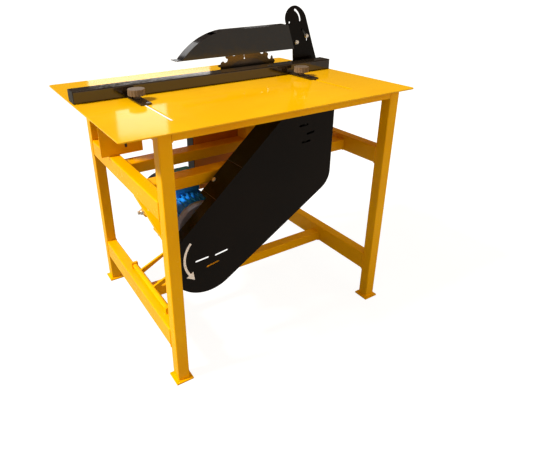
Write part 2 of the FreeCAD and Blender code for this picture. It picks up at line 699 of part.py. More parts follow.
# ---- belt guard ----
def guard_steps():
    """Outline of the belt guard: upright right side, two sloping edges, round lower end."""
    top = UNDER_SHEET - 3.0
    up = math.radians(GUARD_UPPER_SLOPE)
    low = math.radians(GUARD_LOWER_SLOPE)
    cx, cz, r = GUARD_END_X, GUARD_END_Z, GUARD_END_RADIUS
    back_step = math.sqrt(r ** 2 - GUARD_UPPER_OFFSET ** 2)
    upper_start = (cx - GUARD_UPPER_OFFSET * math.sin(up) - back_step * math.cos(up),
                   cz + GUARD_UPPER_OFFSET * math.cos(up) - back_step * math.sin(up))
    upper_end = (upper_start[0] + (top - upper_start[1]) / math.tan(up), top)
    tangent = polar(cx, cz, r, GUARD_LOWER_SLOPE - 90)
    corner_z = tangent[1] + (GUARD_RIGHT - tangent[0]) * math.tan(low)
    run = GUARD_CORNER * math.tan((math.pi / 2 - low) / 2)
    corner_x = GUARD_RIGHT - GUARD_CORNER
    before = (GUARD_RIGHT - run * math.cos(low), corner_z - run * math.sin(low))
    after = (GUARD_RIGHT, corner_z + run)
    middle = polar(corner_x, corner_z + run, GUARD_CORNER, -(90 - GUARD_LOWER_SLOPE) / 2)
    bottom = polar(cx, cz, r, -150)
    return [upper_end, upper_start, (bottom, tangent), before, (middle, after),
            (GUARD_RIGHT, top)]


def guard_solid(inset, y0, y1):
    wire = outline(guard_steps(), y0)
    if inset:
        wire = wire.makeOffset2D(-inset)
    return Part.Face(wire).extrude(Vector(0, y1 - y0, 0))


SCREW_RADIUS = 3.0
SCREW_HEAD = 8.0
SCREW_HEAD_THICK = 3.5
UPPER_SCREW = 100.0             # down the upper edge from its top
STEP_SCREW = 62.0               # up the upper edge from the step
LOWER_SCREWS = (40.0, 200.0)    # down the lower edge from its bend
SIDE_SCREW = 60.0               # under the arbor axis
LIP = 28.0
GUARD_FIT = 0.3
VENT_HALF = 3.5


def screw_lines():
    """Each screw's place on the guard's edge and its outward direction."""
    up = math.radians(GUARD_UPPER_SLOPE)
    low = math.radians(GUARD_LOWER_SLOPE)
    steps = guard_steps()
    top_edge = steps[0]
    low_edge = steps[3]
    places = []
    for along in (UPPER_SCREW, GUARD_STEP - STEP_SCREW):
        point = (top_edge[0] - along * math.cos(up), top_edge[1] - along * math.sin(up))
        places.append((point, (-math.sin(up), math.cos(up))))
    for along in LOWER_SCREWS:
        point = (low_edge[0] - along * math.cos(low), low_edge[1] - along * math.sin(low))
        places.append((point, (math.sin(low), -math.cos(low))))
    places.append(((GUARD_RIGHT, ARBOR_Z - SIDE_SCREW), (1.0, 0.0)))
    return places


def screw_hole(point, out):
    y = GUARD_BACK - LIP / 2
    start = Vector(point[0] - 8 * out[0], y, point[1] - 8 * out[1])
    return Part.makeCylinder(SCREW_RADIUS, 10.0, start, Vector(out[0], 0, out[1]))


def guard_screws():
    screws = []
    y = GUARD_BACK - LIP / 2
    for point, out in screw_lines():
        head = Part.makeCylinder(SCREW_HEAD, SCREW_HEAD_THICK, Vector(point[0], y, point[1]),
                                 Vector(out[0], 0, out[1]))
        screws.append(head.fuse(screw_hole(point, out)).removeSplitter())
    return screws


def vent(x, z, length, lean):
    """Slanted vent slot through the cover's face."""
    y0 = GUARD_FRONT - 1
    y1 = GUARD_FRONT + GUARD_SHEET + 1
    slot = box(-length / 2, length / 2, y0, y1, -VENT_HALF, VENT_HALF)
    for end in (-length / 2, length / 2):
        slot = slot.fuse(rod_y(end, 0, VENT_HALF, y0, y1))
    slot.translate(Vector(x, 0, z))
    slot.rotate(Vector(x, 0, z), Vector(0, -1, 0), lean)
    return slot


# Each vent: along X and up from the pulley's axis or the guard's end centre, length, lean.
LOWER_VENTS = ((-19.8, -5.0, 42.0, 4.0), (18.0, -35.0, 42.0, 10.0), (51.6, -2.0, 42.0, 8.0))
UPPER_VENTS = ((-50.0, -22.0, 30.0, 4.0), (-20.0, -52.0, 26.0, 8.0), (-37.0, -80.0, 30.0, 4.0))


def vents(x, z, places):
    return [vent(x + dx, z + dz, length, lean) for dx, dz, length, lean in places]


def beyond_step(inset, y0, y1):
    """Everything on the arbor's side of the line where the guard's depth changes."""
    up = math.radians(GUARD_UPPER_SLOPE)
    top_edge = guard_steps()[0]
    x = top_edge[0] - GUARD_STEP * math.cos(up)
    z = top_edge[1] - GUARD_STEP * math.sin(up)
    block = box(inset, 2 * TABLE_LENGTH, y0, y1, -TABLE_LENGTH, TABLE_LENGTH)
    block.rotate(Vector(0, 0, 0), Vector(0, -1, 0), GUARD_UPPER_SLOPE)
    block.translate(Vector(x, 0, z))
    return block


def deep_part(inset, step_inset, y0, y1):
    return guard_solid(inset, y0, y1).common(beyond_step(step_inset, y0, y1))


def guard_cover():
    step_y = GUARD_FRONT + GUARD_SHALLOW
    room_front = GUARD_FRONT + GUARD_SHEET
    cover = guard_solid(0.0, GUARD_FRONT, step_y).fuse(deep_part(0.0, 0.0, step_y, GUARD_BACK))
    cover = cover.removeSplitter()
    cover = cover.cut(guard_solid(GUARD_SHEET, room_front, step_y))
    cover = cover.cut(deep_part(GUARD_SHEET, GUARD_SHEET, step_y - 1, GUARD_BACK + 1))
    cover = cover.cut(vents(GUARD_END_X, GUARD_END_Z, LOWER_VENTS))
    cover = cover.cut(vents(BLADE_X, ARBOR_Z, UPPER_VENTS))
    return cover.cut([screw_hole(*s) for s in screw_lines()])


def guard_back_plate():
    """Tray inside the deep part of the guard, screwed to it and held off the front beam."""
    edge = GUARD_SHEET + GUARD_FIT
    wall = edge + GUARD_SHEET
    plate = deep_part(edge, edge, GUARD_BACK - LIP, GUARD_BACK)
    plate = plate.cut(deep_part(wall, wall, GUARD_BACK - LIP - 1, GUARD_BACK - GUARD_SHEET))
    plate = plate.cut(rod_y(BLADE_X, ARBOR_Z, SHAFT_RADIUS + 12.0, GUARD_BACK - 5, GUARD_BACK + 1))
    stands = []
    for x in (GUARD_RIGHT - 300.0, GUARD_RIGHT - 60.0):
        stands.append(rod_y(x, BEAM_TOP - BEAM_HEIGHT / 2, 10.0, GUARD_BACK - 1, FRONT_BEAM_Y))
    plate = plate.fuse(stands).removeSplitter()
    return plate.cut([screw_hole(*s) for s in screw_lines()])


# ---- motor ----
RIBS = 32
RIB_THICK = 3.2
STATOR_BORE = 54.0
ROTOR_RADIUS = 53.0
SHIELD_RADIUS = 90.0
FOOT_SPAN = 160.0               # over both motor feet
FOOT_LENGTH = 36.0
MOTOR_FOOT_THICK = 14.0
WEB_HALF_WIDTH = 50.0           # web between each foot and the barrel
WEB_HALF_LENGTH = 12.0
WEB_INSIDE = 60.0               # web's top below the motor axis, inside the barrel's wall
SHIELD_CHAMFER = 8.0
ROTOR_SETBACK = 30.0            # rotor core short of the barrel at each end
FAN_HUB = 26.0
FAN_DISC = 60.0
FAN_TIP = 74.0
FAN_VANES = 7
FAN_DEPTH = 30.0
FAN_PLATE = 3.0
FAN_COVER_SHEET = 2.0
GRILLE_HOLE = 5.0
GRILLE_RINGS = ((30.0, 10), (46.0, 16), (62.0, 22))     # radius and number of holes
TERMINAL_TOP = BEAM_TOP - BEAM_HEIGHT + 4.0
TERMINAL_FRONT = FRONT_BEAM_Y + BEAM_DEPTH + 14.0
TERMINAL_SIDE = 96.0
TERMINAL_ROUND = 8.0
TERMINAL_PAD = 6.0              # how far the cast pad stands in from the box's sides
MOTOR_BOLT_X = 70.0


def motor_foot_middles():
    return (BARREL_FRONT + FOOT_LENGTH, BARREL_BACK - FOOT_LENGTH)


def motor_body():
    body = rod_y(MOTOR_X, MOTOR_Z, MOTOR_CORE, BARREL_FRONT, BARREL_BACK)
    ribs = []
    for i in range(RIBS):
        rib = box(MOTOR_CORE - 3, MOTOR_RADIUS, BARREL_FRONT, BARREL_BACK,
                  -RIB_THICK / 2, RIB_THICK / 2)
        rib.translate(Vector(MOTOR_X, 0, MOTOR_Z))
        rib.rotate(Vector(MOTOR_X, 0, MOTOR_Z), Vector(0, 1, 0), 360.0 / RIBS * (i + 0.5))
        ribs.append(rib)
    half = TERMINAL_SIDE / 2 - TERMINAL_PAD
    pad = box(MOTOR_X - half, MOTOR_X + half, TERMINAL_FRONT + TERMINAL_PAD,
              TERMINAL_FRONT + TERMINAL_SIDE - TERMINAL_PAD, MOTOR_Z + STATOR_BORE + 9,
              MOTOR_Z + MOTOR_RADIUS)
    body = body.fuse(ribs + [pad])
    for y in motor_foot_middles():
        foot = box(MOTOR_X - FOOT_SPAN / 2, MOTOR_X + FOOT_SPAN / 2, y - FOOT_LENGTH / 2,
                   y + FOOT_LENGTH / 2, PLATE_TOP, PLATE_TOP + MOTOR_FOOT_THICK)
        web = box(MOTOR_X - WEB_HALF_WIDTH, MOTOR_X + WEB_HALF_WIDTH, y - WEB_HALF_LENGTH,
                  y + WEB_HALF_LENGTH, PLATE_TOP, MOTOR_Z - WEB_INSIDE)
        body = body.fuse([foot, web])
        for x in (MOTOR_X - MOTOR_BOLT_X, MOTOR_X + MOTOR_BOLT_X):
            body = body.cut(rod_z(x, y, BOLT_RADIUS + BOLT_GAP, PLATE_TOP - 1,
                                  PLATE_TOP + MOTOR_FOOT_THICK + 1))
    return body.removeSplitter().cut(rod_y(MOTOR_X, MOTOR_Z, STATOR_BORE, BARREL_FRONT - 1,
                                           BARREL_BACK + 1))


def end_shields():
    shields = []
    for y0 in (MOTOR_FRONT, BARREL_BACK):
        shield = ring_y(MOTOR_X, MOTOR_Z, SHIELD_RADIUS, MOTOR_SHAFT_RADIUS + RUNNING_FIT,
                        y0, y0 + SHIELD_THICK)
        shields.append(shield)
    edge = [e for e in shields[0].Edges if abs(e.BoundBox.YMax - MOTOR_FRONT) < 0.01
            and e.BoundBox.XLength > SHIELD_RADIUS]
    shields[0] = shields[0].makeChamfer(SHIELD_CHAMFER, edge)
    return shields


def rotor():
    shaft = rod_y(MOTOR_X, MOTOR_Z, MOTOR_SHAFT_RADIUS, BELT_MIDDLE - PULLEY_WIDTH / 2,
                  BARREL_BACK + SHIELD_THICK + FAN_COVER_LENGTH - 20.0)
    core = rod_y(MOTOR_X, MOTOR_Z, ROTOR_RADIUS, BARREL_FRONT + ROTOR_SETBACK,
                 BARREL_BACK - ROTOR_SETBACK)
    return shaft.fuse(core).removeSplitter()


def fan_front():
    return BARREL_BACK + SHIELD_THICK + 8.0


def cooling_fan():
    y0 = fan_front()
    fan = rod_y(MOTOR_X, MOTOR_Z, FAN_HUB, y0, y0 + FAN_DEPTH)
    fan = fan.fuse(rod_y(MOTOR_X, MOTOR_Z, FAN_DISC, y0, y0 + FAN_PLATE))
    vanes = []
    for i in range(FAN_VANES):
        vane = box(FAN_HUB - 6, FAN_TIP, y0, y0 + FAN_DEPTH - 2, -FAN_PLATE / 2, FAN_PLATE / 2)
        vane.translate(Vector(MOTOR_X, 0, MOTOR_Z))
        vane.rotate(Vector(MOTOR_X, 0, MOTOR_Z), Vector(0, 1, 0), 360.0 / FAN_VANES * i)
        vanes.append(vane)
    fan = fan.fuse(vanes).removeSplitter()
    return fan.cut(rod_y(MOTOR_X, MOTOR_Z, MOTOR_SHAFT_RADIUS, y0 - 1, y0 + FAN_DEPTH + 1))


def fan_cover():
    y0 = BARREL_BACK + SHIELD_THICK
    y1 = y0 + FAN_COVER_LENGTH
    sheet = FAN_COVER_SHEET
    cup = rod_y(MOTOR_X, MOTOR_Z, SHIELD_RADIUS, y0, y1)
    cup = cup.cut(rod_y(MOTOR_X, MOTOR_Z, SHIELD_RADIUS - sheet, y0 - 1, y1 - sheet))
    holes = []
    for ring, count in GRILLE_RINGS:
        for i in range(count):
            x, z = polar(MOTOR_X, MOTOR_Z, ring, 360.0 / count * i)
            holes.append(rod_y(x, z, GRILLE_HOLE, y1 - sheet - 1, y1 + 1))
    return cup.cut(holes)


def terminal_box():
    half = TERMINAL_SIDE / 2
    body = box(MOTOR_X - half, MOTOR_X + half, TERMINAL_FRONT, TERMINAL_FRONT + TERMINAL_SIDE,
               MOTOR_Z + MOTOR_RADIUS, TERMINAL_TOP)
    uprights = [e for e in body.Edges if abs(e.tangentAt(e.FirstParameter).z) > 0.9]
    return body.makeFillet(TERMINAL_ROUND, uprights)


# ---- motor cradle and belt tensioner ----
CRADLE_FRONT = BARREL_FRONT + 5.0
CRADLE_BACK = BARREL_BACK + 5.0
ARM_THICK = 8.0
ARM_HEIGHT = 20.0
ARM_SLOPE = 0.445
ARM_SETBACK = 20.0              # arm's end short of the plate's right edge
ARM_RISE_X = 12.0               # where the arm meets the plate, from its left edge
BUSH_GAP = 2.0                  # side play between the bush and each lug
PLATE_LEFT = MOTOR_X - FOOT_SPAN / 2
PLATE_RIGHT = MOTOR_X + FOOT_SPAN / 2 + 15.0
BUSH_FRONT = -245.0
BUSH_BACK = 56.0
LUG_THICK = 12.0
LUG_HALF = 12.0
PULL_LUG_X = LEG_LEFT + 88.0
PULL_LUG_THICK = 8.0
PULL_LUG_WIDTH = 30.0
PULL_LUG_OVER = 16.0
TENSION_HOLE = 1.5
TENSION_PLAY = 5.2
TENSION_NUT = 9.0
TENSION_HEX = 18.0


def arm_middles():
    middle_front, middle_back = motor_foot_middles()
    return (middle_front + 15.0, middle_back - 20.0)


def cradle_arm(y):
    low = PLATE_TOP - PLATE_THICK
    meet_x = PLATE_LEFT + ARM_RISE_X
    steps = [
        (HINGE_X, HINGE_Z - ARM_HEIGHT / 2),
        (PLATE_RIGHT - ARM_SETBACK, low - 2 * PLATE_THICK),
        (PLATE_RIGHT - ARM_SETBACK, low),
        (meet_x, low),
        (meet_x, HINGE_Z + ARM_HEIGHT / 2 + ARM_SLOPE * (meet_x - HINGE_X)),
        (HINGE_X, HINGE_Z + ARM_HEIGHT / 2),
    ]
    return slab(steps, y - ARM_THICK / 2, y + ARM_THICK / 2)


def motor_cradle():
    plate = box(PLATE_LEFT, PLATE_RIGHT, CRADLE_FRONT, CRADLE_BACK, PLATE_TOP - PLATE_THICK,
                PLATE_TOP)
    half = PULL_LUG_WIDTH / 2
    ear = box(PULL_LUG_X, PLATE_LEFT + 1, TENSION_Y - half, TENSION_Y + half,
              PLATE_TOP - PLATE_THICK, PLATE_TOP)
    lug = box(PULL_LUG_X, PULL_LUG_X + PULL_LUG_THICK, TENSION_Y - half, TENSION_Y + half,
              PLATE_TOP - PLATE_THICK, TENSION_Z + PULL_LUG_OVER)
    bush = rod_y(HINGE_X, HINGE_Z, HINGE_BUSH, BUSH_FRONT, BUSH_BACK)
    arms = [cradle_arm(y) for y in arm_middles()]
    cradle = plate.fuse([ear, lug, bush] + arms).removeSplitter()
    cradle = cradle.cut(rod_y(HINGE_X, HINGE_Z, HINGE_PIN + RUNNING_FIT, BUSH_FRONT - 1,
                              BUSH_BACK + 1))
    cradle = cradle.cut(rod_x(TENSION_Y, TENSION_Z, TENSION_RADIUS + TENSION_HOLE,
                              PULL_LUG_X - 1, PULL_LUG_X + PULL_LUG_THICK + 1))
    for y in motor_foot_middles():
        for x in (MOTOR_X - MOTOR_BOLT_X, MOTOR_X + MOTOR_BOLT_X):
            cradle = cradle.cut(rod_z(x, y, BOLT_RADIUS + BOLT_GAP,
                                      PLATE_TOP - PLATE_THICK - 3, PLATE_TOP + 1))
    return cradle


def hinge_pin():
    """Pin of the cradle, with the two lugs that hold it to the lower left rail."""
    pin = rod_y(HINGE_X, HINGE_Z, HINGE_PIN, BUSH_FRONT - BUSH_GAP - LUG_THICK,
                BUSH_BACK + BUSH_GAP + LUG_THICK)
    lugs = []
    for y0 in (BUSH_FRONT - BUSH_GAP - LUG_THICK, BUSH_BACK + BUSH_GAP):
        lugs.append(box(HINGE_X - LUG_HALF, HINGE_X + LUG_HALF, y0, y0 + LUG_THICK,
                        LOWER_RAIL_TOP, HINGE_Z + LUG_HALF))
    return pin.fuse(lugs).removeSplitter()


BRACE_BACK = -110.0
BRACE_DROP = 61.0
BRACE_THICK = 8.0
BRACE_WIDTH = 30.0
BRACE_EAR_X = LEG_LEFT + 17.0
BRACE_EAR_BELOW = 14.0


def tension_brace():
    """Sloping flat between the upper left rail and the front leg, with the tension rod's ear."""
    rail_floor = UPPER_RAIL_TOP - UPPER_RAIL_HEIGHT
    front = LEG_FRONT + TUBE
    x0 = LEG_LEFT + (TUBE - BRACE_WIDTH) / 2
    section = Part.makePolygon([
        Vector(x0, BRACE_BACK, rail_floor),
        Vector(x0, BRACE_BACK, rail_floor - BRACE_THICK),
        Vector(x0, front, rail_floor - BRACE_DROP - BRACE_THICK),
        Vector(x0, front, rail_floor - BRACE_DROP),
        Vector(x0, BRACE_BACK - BRACE_THICK, rail_floor),
        Vector(x0, BRACE_BACK, rail_floor)])
    bar = Part.Face(section).extrude(Vector(BRACE_WIDTH, 0, 0))
    half = PULL_LUG_WIDTH / 2
    ear = box(BRACE_EAR_X, BRACE_EAR_X + BRACE_THICK, TENSION_Y - half, TENSION_Y + half,
              TENSION_Z - BRACE_EAR_BELOW, brace_top(TENSION_Y + half) - BRACE_THICK / 2)
    brace = bar.fuse(ear).removeSplitter()
    brace = brace.cut(rod_x(TENSION_Y, TENSION_Z, TENSION_RADIUS, BRACE_EAR_X - 1,
                            BRACE_EAR_X + BRACE_THICK + 1))
    for y in BRACE_BOLT_Y:
        brace = brace.cut(rod_z(brace_x(), y, BOLT_RADIUS, rail_floor - 2 * BRACE_DROP, rail_floor))
    return brace


BRACE_BOLT_Y = (-316.0, -200.0)


def brace_x():
    return LEG_LEFT + TUBE / 2


def brace_slope():
    return BRACE_DROP / (BRACE_BACK - BRACE_THICK - LEG_FRONT - TUBE)


def brace_top(y):
    """Height of the sloping bar's upper face."""
    return UPPER_RAIL_TOP - UPPER_RAIL_HEIGHT - brace_slope() * (BRACE_BACK - BRACE_THICK - y)


def tension_rod():
    """Threaded rod with a nut each side of the brace's ear and, looser, of the cradle's lug."""
    nut = TENSION_NUT
    starts = (BRACE_EAR_X - nut, BRACE_EAR_X + BRACE_THICK, PULL_LUG_X - TENSION_PLAY - nut,
              PULL_LUG_X + PULL_LUG_THICK + TENSION_PLAY)
    nuts = [hex_bar(Vector(x, TENSION_Y, TENSION_Z), Vector(1, 0, 0), TENSION_HEX, nut)
            for x in starts]
    rod = rod_x(TENSION_Y, TENSION_Z, TENSION_RADIUS, starts[0] - 9, starts[3] + nut + 3)
    return rod.fuse(nuts).removeSplitter()


# ---- bolts ----
def bolt_down(x, y, seat, length):
    """Hex bolt with its head on seat, and a nut at the other end of the grip."""
    shank = rod_z(x, y, BOLT_RADIUS, seat - length, seat + 1)
    head = hex_bar(Vector(x, y, seat), Vector(0, 0, 1), BOLT_HEX, BOLT_HEAD)
    return shank.fuse(head).removeSplitter()


def bolt_and_nut(x, y, seat, grip):
    nut = 8.0
    bolt = bolt_down(x, y, seat, grip + nut + 4.0)
    return bolt.fuse(hex_bar(Vector(x, y, seat - grip - nut), Vector(0, 0, 1), BOLT_HEX, nut))


def frame_bolts():
    bolts = []
    for x in BRACKET_BOLT_X:
        bolts.append(bolt_and_nut(x, bracket_bolt_y(), TABLE_HEIGHT + BRACKET_THICK,
                                  BRACKET_THICK + SHEET))
    for y in beam_middles():
        for x in (BLADE_X - BEARING_BOLTS, BLADE_X + BEARING_BOLTS):
            bolts.append(bolt_and_nut(x, y, BEARING_BASE_Z + BEARING_BASE,
                                      BEARING_BASE + PEDESTAL_CAP))
    for y in BRACE_BOLT_Y:
        bolts.append(rod_z(brace_x(), y, BOLT_RADIUS, brace_top(y) - BRACE_THICK - 18.0,
                           brace_top(y) + BRACE_THICK / 2))
    return bolts


def motor_bolts():
    bolts = []
    for y in motor_foot_middles():
        for x in (MOTOR_X - MOTOR_BOLT_X, MOTOR_X + MOTOR_BOLT_X):
            bolts.append(bolt_and_nut(x, y, PLATE_TOP + MOTOR_FOOT_THICK,
                                      MOTOR_FOOT_THICK + PLATE_THICK))
    return bolts


# ---- switch ----
SWITCH_PLATE_X = (LEG_LEFT - 27.0, LEG_LEFT + 125.0)
SWITCH_PLATE_Y = 100.0
SWITCH_SHEET = 3.0
SWITCH_X = (LEG_LEFT + 41.0, LEG_LEFT + 115.0)
SWITCH_WINDOW_X = (LEG_LEFT + 60.0, LEG_LEFT + 69.0)
SWITCH_WINDOW_Z = (UPPER_RAIL_TOP + 23.0, UPPER_RAIL_TOP + 41.0)
SWITCH_Z = (UPPER_RAIL_TOP + 16.0, UPPER_RAIL_TOP + 146.0)
SWITCH_DEPTH = 62.0
BUTTON_TRAVEL = 4.0
START_Z = SWITCH_Z[1] - 36.0
STOP_Z = SWITCH_Z[0] + 42.0
START_RADIUS = 12.0
STOP_RADIUS = 17.0


def switch_middle():
    return (SWITCH_X[0] + SWITCH_X[1]) / 2


def switch_back():
    return SWITCH_PLATE_Y + SWITCH_SHEET + SWITCH_DEPTH


def switch_plate():
    plate = box(*SWITCH_PLATE_X, SWITCH_PLATE_Y, SWITCH_PLATE_Y + SWITCH_SHEET, UPPER_RAIL_TOP,
                UNDER_SHEET - TOP_RAIL_HEIGHT)
    window = box(*SWITCH_WINDOW_X, SWITCH_PLATE_Y - 1, SWITCH_PLATE_Y + 9, *SWITCH_WINDOW_Z)
    return plate.cut(window)


def button_bore(radius):
    return radius - 3.0


def switch_box():
    body = box(*SWITCH_X, SWITCH_PLATE_Y + SWITCH_SHEET, switch_back(), *SWITCH_Z)
    body = body.makeFillet(6.0, [e for e in body.Edges
                                 if abs(e.tangentAt(e.FirstParameter).y) > 0.9])
    for z, radius in ((START_Z, START_RADIUS), (STOP_Z, STOP_RADIUS)):
        body = body.cut(rod_y(switch_middle(), z, button_bore(radius) + LOOSE,
                              switch_back() - 24, switch_back() + 1))
    return body


def button(z, radius, crown):
    """Stem in the box and a cap that stands off its face by the travel."""
    face = switch_back()
    stem = rod_y(switch_middle(), z, button_bore(radius), face - 18, face + BUTTON_TRAVEL + 1)
    cap = rod_y(switch_middle(), z, radius, face + BUTTON_TRAVEL + LOOSE,
                face + BUTTON_TRAVEL + LOOSE + crown)
    edge = [e for e in cap.Edges if abs(e.BoundBox.YMin - cap.BoundBox.YMax) < 0.01]
    return stem.fuse(cap.makeFillet(crown / 3, edge)).removeSplitter()


def switch_gland():
    x = SWITCH_X[1] - 26.0
    y = SWITCH_PLATE_Y + SWITCH_SHEET + SWITCH_DEPTH / 2
    nut = hex_bar(Vector(x, y, SWITCH_Z[0] - 10), Vector(0, 0, 1), 24.0, 10.0)
    dome = Part.makeCone(7.5, 10.5, 14.0, Vector(x, y, SWITCH_Z[0] - 24), Vector(0, 0, 1))
    return nut.fuse(dome).cut(rod_z(x, y, 5.0, SWITCH_Z[0] - 30, SWITCH_Z[0] - 12))


# ---- write every node ----
def add(name, shape):
    SOLIDS[name] = Part.Compound(shape) if isinstance(shape, list) else shape


add("front_left_leg", leg(LEG_LEFT, LEG_FRONT))
add("front_right_leg", leg(LEG_RIGHT, LEG_FRONT))
add("back_left_leg", leg(LEG_LEFT, LEG_BACK))
add("back_right_leg", leg(LEG_RIGHT, LEG_BACK))
add("foot_plates", foot_plates())
add("upper_left_rail", side_rail(LEG_LEFT, UPPER_RAIL_TOP, UPPER_RAIL_HEIGHT))
add("upper_right_rail", side_rail(LEG_RIGHT, UPPER_RAIL_TOP, UPPER_RAIL_HEIGHT))
add("lower_left_rail", side_rail(LEG_LEFT, LOWER_RAIL_TOP, LOWER_RAIL_HEIGHT))
add("lower_right_rail", side_rail(LEG_RIGHT, LOWER_RAIL_TOP, LOWER_RAIL_HEIGHT))
add("front_top_rail", long_top_rail(LEG_FRONT))
add("back_top_rail", long_top_rail(LEG_BACK + TUBE - TOP_RAIL_DEPTH))
add("side_top_rails", side_top_rails())
add("front_arbor_beam", beam(FRONT_BEAM_Y))
add("back_arbor_beam", beam(BACK_BEAM_Y))
add("lower_stretcher", lower_stretcher())
add("table_top", table_top())
add("arbor_pedestals", pedestals())
add("front_arbor_bearing", pillow_block(beam_middles()[0]))
add("back_arbor_bearing", pillow_block(beam_middles()[1]))
add("blade_housing", blade_housing())
add("housing_end_cover", housing_end_cover())
add("hood_bracket", bracket())
add("belt_guard_cover", guard_cover())
add("belt_guard_back", guard_back_plate())
add("belt_guard_screws", guard_screws())
add("front_drive_belt", belt(belt_planes()[0]))
add("back_drive_belt", belt(belt_planes()[1]))
add("cradle_hinge_pin", hinge_pin())
add("tension_brace", tension_brace())
add("tension_rod", tension_rod())
add("frame_bolts", frame_bolts())
add("switch_plate", switch_plate())
add("switch_box", switch_box())
add("switch_gland", switch_gland())
add("start_button", button(START_Z, START_RADIUS, 6.0))
add("stop_button", button(STOP_Z, STOP_RADIUS, 9.0))
add("arbor_shaft", arbor_shaft())
add("saw_blade", saw_blade())
add("inner_flange", flange(BLADE_Y - BLADE_PLATE / 2 - FLANGE_THICK, BLADE_Y - BLADE_PLATE / 2, 1))
add("outer_flange", flange(BLADE_Y + BLADE_PLATE / 2, BLADE_Y + BLADE_PLATE / 2 + FLANGE_THICK, -1))
add("arbor_nut", arbor_nut())
add("arbor_pulley", pulley(BLADE_X, ARBOR_Z, ARBOR_GROOVE, SHAFT_RADIUS))
add("motor_cradle", motor_cradle())
add("motor_body", motor_body())
add("motor_end_shields", end_shields())
add("motor_fan_cover", fan_cover())
add("terminal_box", terminal_box())
add("motor_bolts", motor_bolts())
add("rotor", rotor())
add("motor_pulley", pulley(MOTOR_X, MOTOR_Z, MOTOR_GROOVE, MOTOR_SHAFT_RADIUS))
add("cooling_fan", cooling_fan())
add("blade_hood", blade_hood())
add("hood_bolts", hood_bolts())
add("fence_tube", fence_tube())
add("fence_end_caps", fence_end_caps())
add("fence_straps", fence_straps())
add("clamp_studs", clamp_studs())
add("left_clamp_knob", clamp_knob(-FENCE_SLOT_X))
add("right_clamp_knob", clamp_knob(FENCE_SLOT_X))

os.makedirs("parts", exist_ok=True)
for name, shape in SOLIDS.items():
    shape.exportStep("parts/" + name + ".step")
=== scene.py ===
import json
import math

import bmesh
import bpy
from mathutils import Matrix, Vector


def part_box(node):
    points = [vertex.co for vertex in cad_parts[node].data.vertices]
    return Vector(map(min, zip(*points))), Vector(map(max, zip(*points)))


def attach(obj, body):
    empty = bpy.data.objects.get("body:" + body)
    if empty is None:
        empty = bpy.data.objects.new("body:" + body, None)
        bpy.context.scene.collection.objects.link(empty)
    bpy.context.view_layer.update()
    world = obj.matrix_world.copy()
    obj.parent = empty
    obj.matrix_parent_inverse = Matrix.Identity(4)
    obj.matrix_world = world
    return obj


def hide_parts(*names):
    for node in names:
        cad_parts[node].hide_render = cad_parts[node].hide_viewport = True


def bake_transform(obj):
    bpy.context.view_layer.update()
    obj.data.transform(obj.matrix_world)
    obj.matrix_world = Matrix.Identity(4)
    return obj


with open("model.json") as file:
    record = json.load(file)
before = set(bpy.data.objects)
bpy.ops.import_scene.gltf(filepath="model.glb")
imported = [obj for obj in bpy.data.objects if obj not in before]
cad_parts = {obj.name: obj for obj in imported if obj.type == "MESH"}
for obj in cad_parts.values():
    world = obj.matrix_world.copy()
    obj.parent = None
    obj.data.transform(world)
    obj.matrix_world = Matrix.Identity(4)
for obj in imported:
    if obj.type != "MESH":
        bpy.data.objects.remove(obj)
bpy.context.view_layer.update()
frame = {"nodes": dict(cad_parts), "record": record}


# ---- camera ----
# Eye height of someone standing a metre and a half off the front left corner of the table,
# looking down on it, with a short lens.
EYE = Vector((-0.8335, -1.4564, 1.2153))
LOOK_ROUND = math.radians(-30.70)
LOOK_DOWN = math.radians(25.33)
LEAN = math.radians(-0.95)
SENSOR = 36.0                   # mm
LENS = 31.05                    # mm
SHIFT = (0.0739, -0.0523)

ahead = Vector((-math.sin(LOOK_ROUND) * math.cos(LOOK_DOWN),
                math.cos(LOOK_ROUND) * math.cos(LOOK_DOWN), -math.sin(LOOK_DOWN)))
level = Vector((math.cos(LOOK_ROUND), math.sin(LOOK_ROUND), 0.0))
rightward = math.cos(LEAN) * level + math.sin(LEAN) * level.cross(ahead)
lens = bpy.data.cameras.new("camera")
lens.sensor_width = SENSOR
lens.lens = LENS
lens.shift_x, lens.shift_y = SHIFT
camera = bpy.data.objects.new("camera", lens)
camera.matrix_world = Matrix.Translation(EYE) @ Matrix(
    (rightward, rightward.cross(ahead), -ahead)).transposed().to_4x4()
bpy.context.scene.collection.objects.link(camera)
bpy.context.scene.camera = camera
bpy.context.scene.view_settings.view_transform = "Standard"
bpy.context.scene.view_settings.gamma = 0.88


# ---- studio ----
# A pale floor that runs out of sight, a key light high on the left, a soft fill from the front,
# an even room that is dim to look into, and four soft windows, seen only as sheens on the table
# and the hood.
KEY_FROM = Vector((-0.675, 0.145, 0.723))
KEY_STRENGTH = 4.0
KEY_SPREAD = math.radians(9)
FILL_FROM = Vector((0.25, -0.90, 0.22))
FILL_STRENGTH = 0.55
FILL_SPREAD = math.radians(50)
ROOM_STRENGTH = 0.58
ROOM_MIRRORED = 0.10
TABLE_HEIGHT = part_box("table_top")[1][2]
FLOOR_HALF = 60.0
FLOOR_GLOW = 0.98


def linear(colour):
    """A shader's linear colour from an sRGB hex string."""
    parts = [int(colour[i:i + 2], 16) / 255.0 for i in (1, 3, 5)]
    return tuple(c / 12.92 if c <= 0.04045 else ((c + 0.055) / 1.055) ** 2.4
                 for c in parts) + (1.0,)


def add(tree, kind, inputs=None, **settings):
    """Adds a node with its settings; an input is a value or another node's output."""
    node = tree.nodes.new("ShaderNode" + kind)
    for name, value in settings.items():
        setattr(node, name, value)
    for socket, value in (inputs or {}).items():
        if isinstance(value, bpy.types.NodeSocket):
            tree.links.new(value, node.inputs[socket])
        else:
            node.inputs[socket].default_value = value
    return node


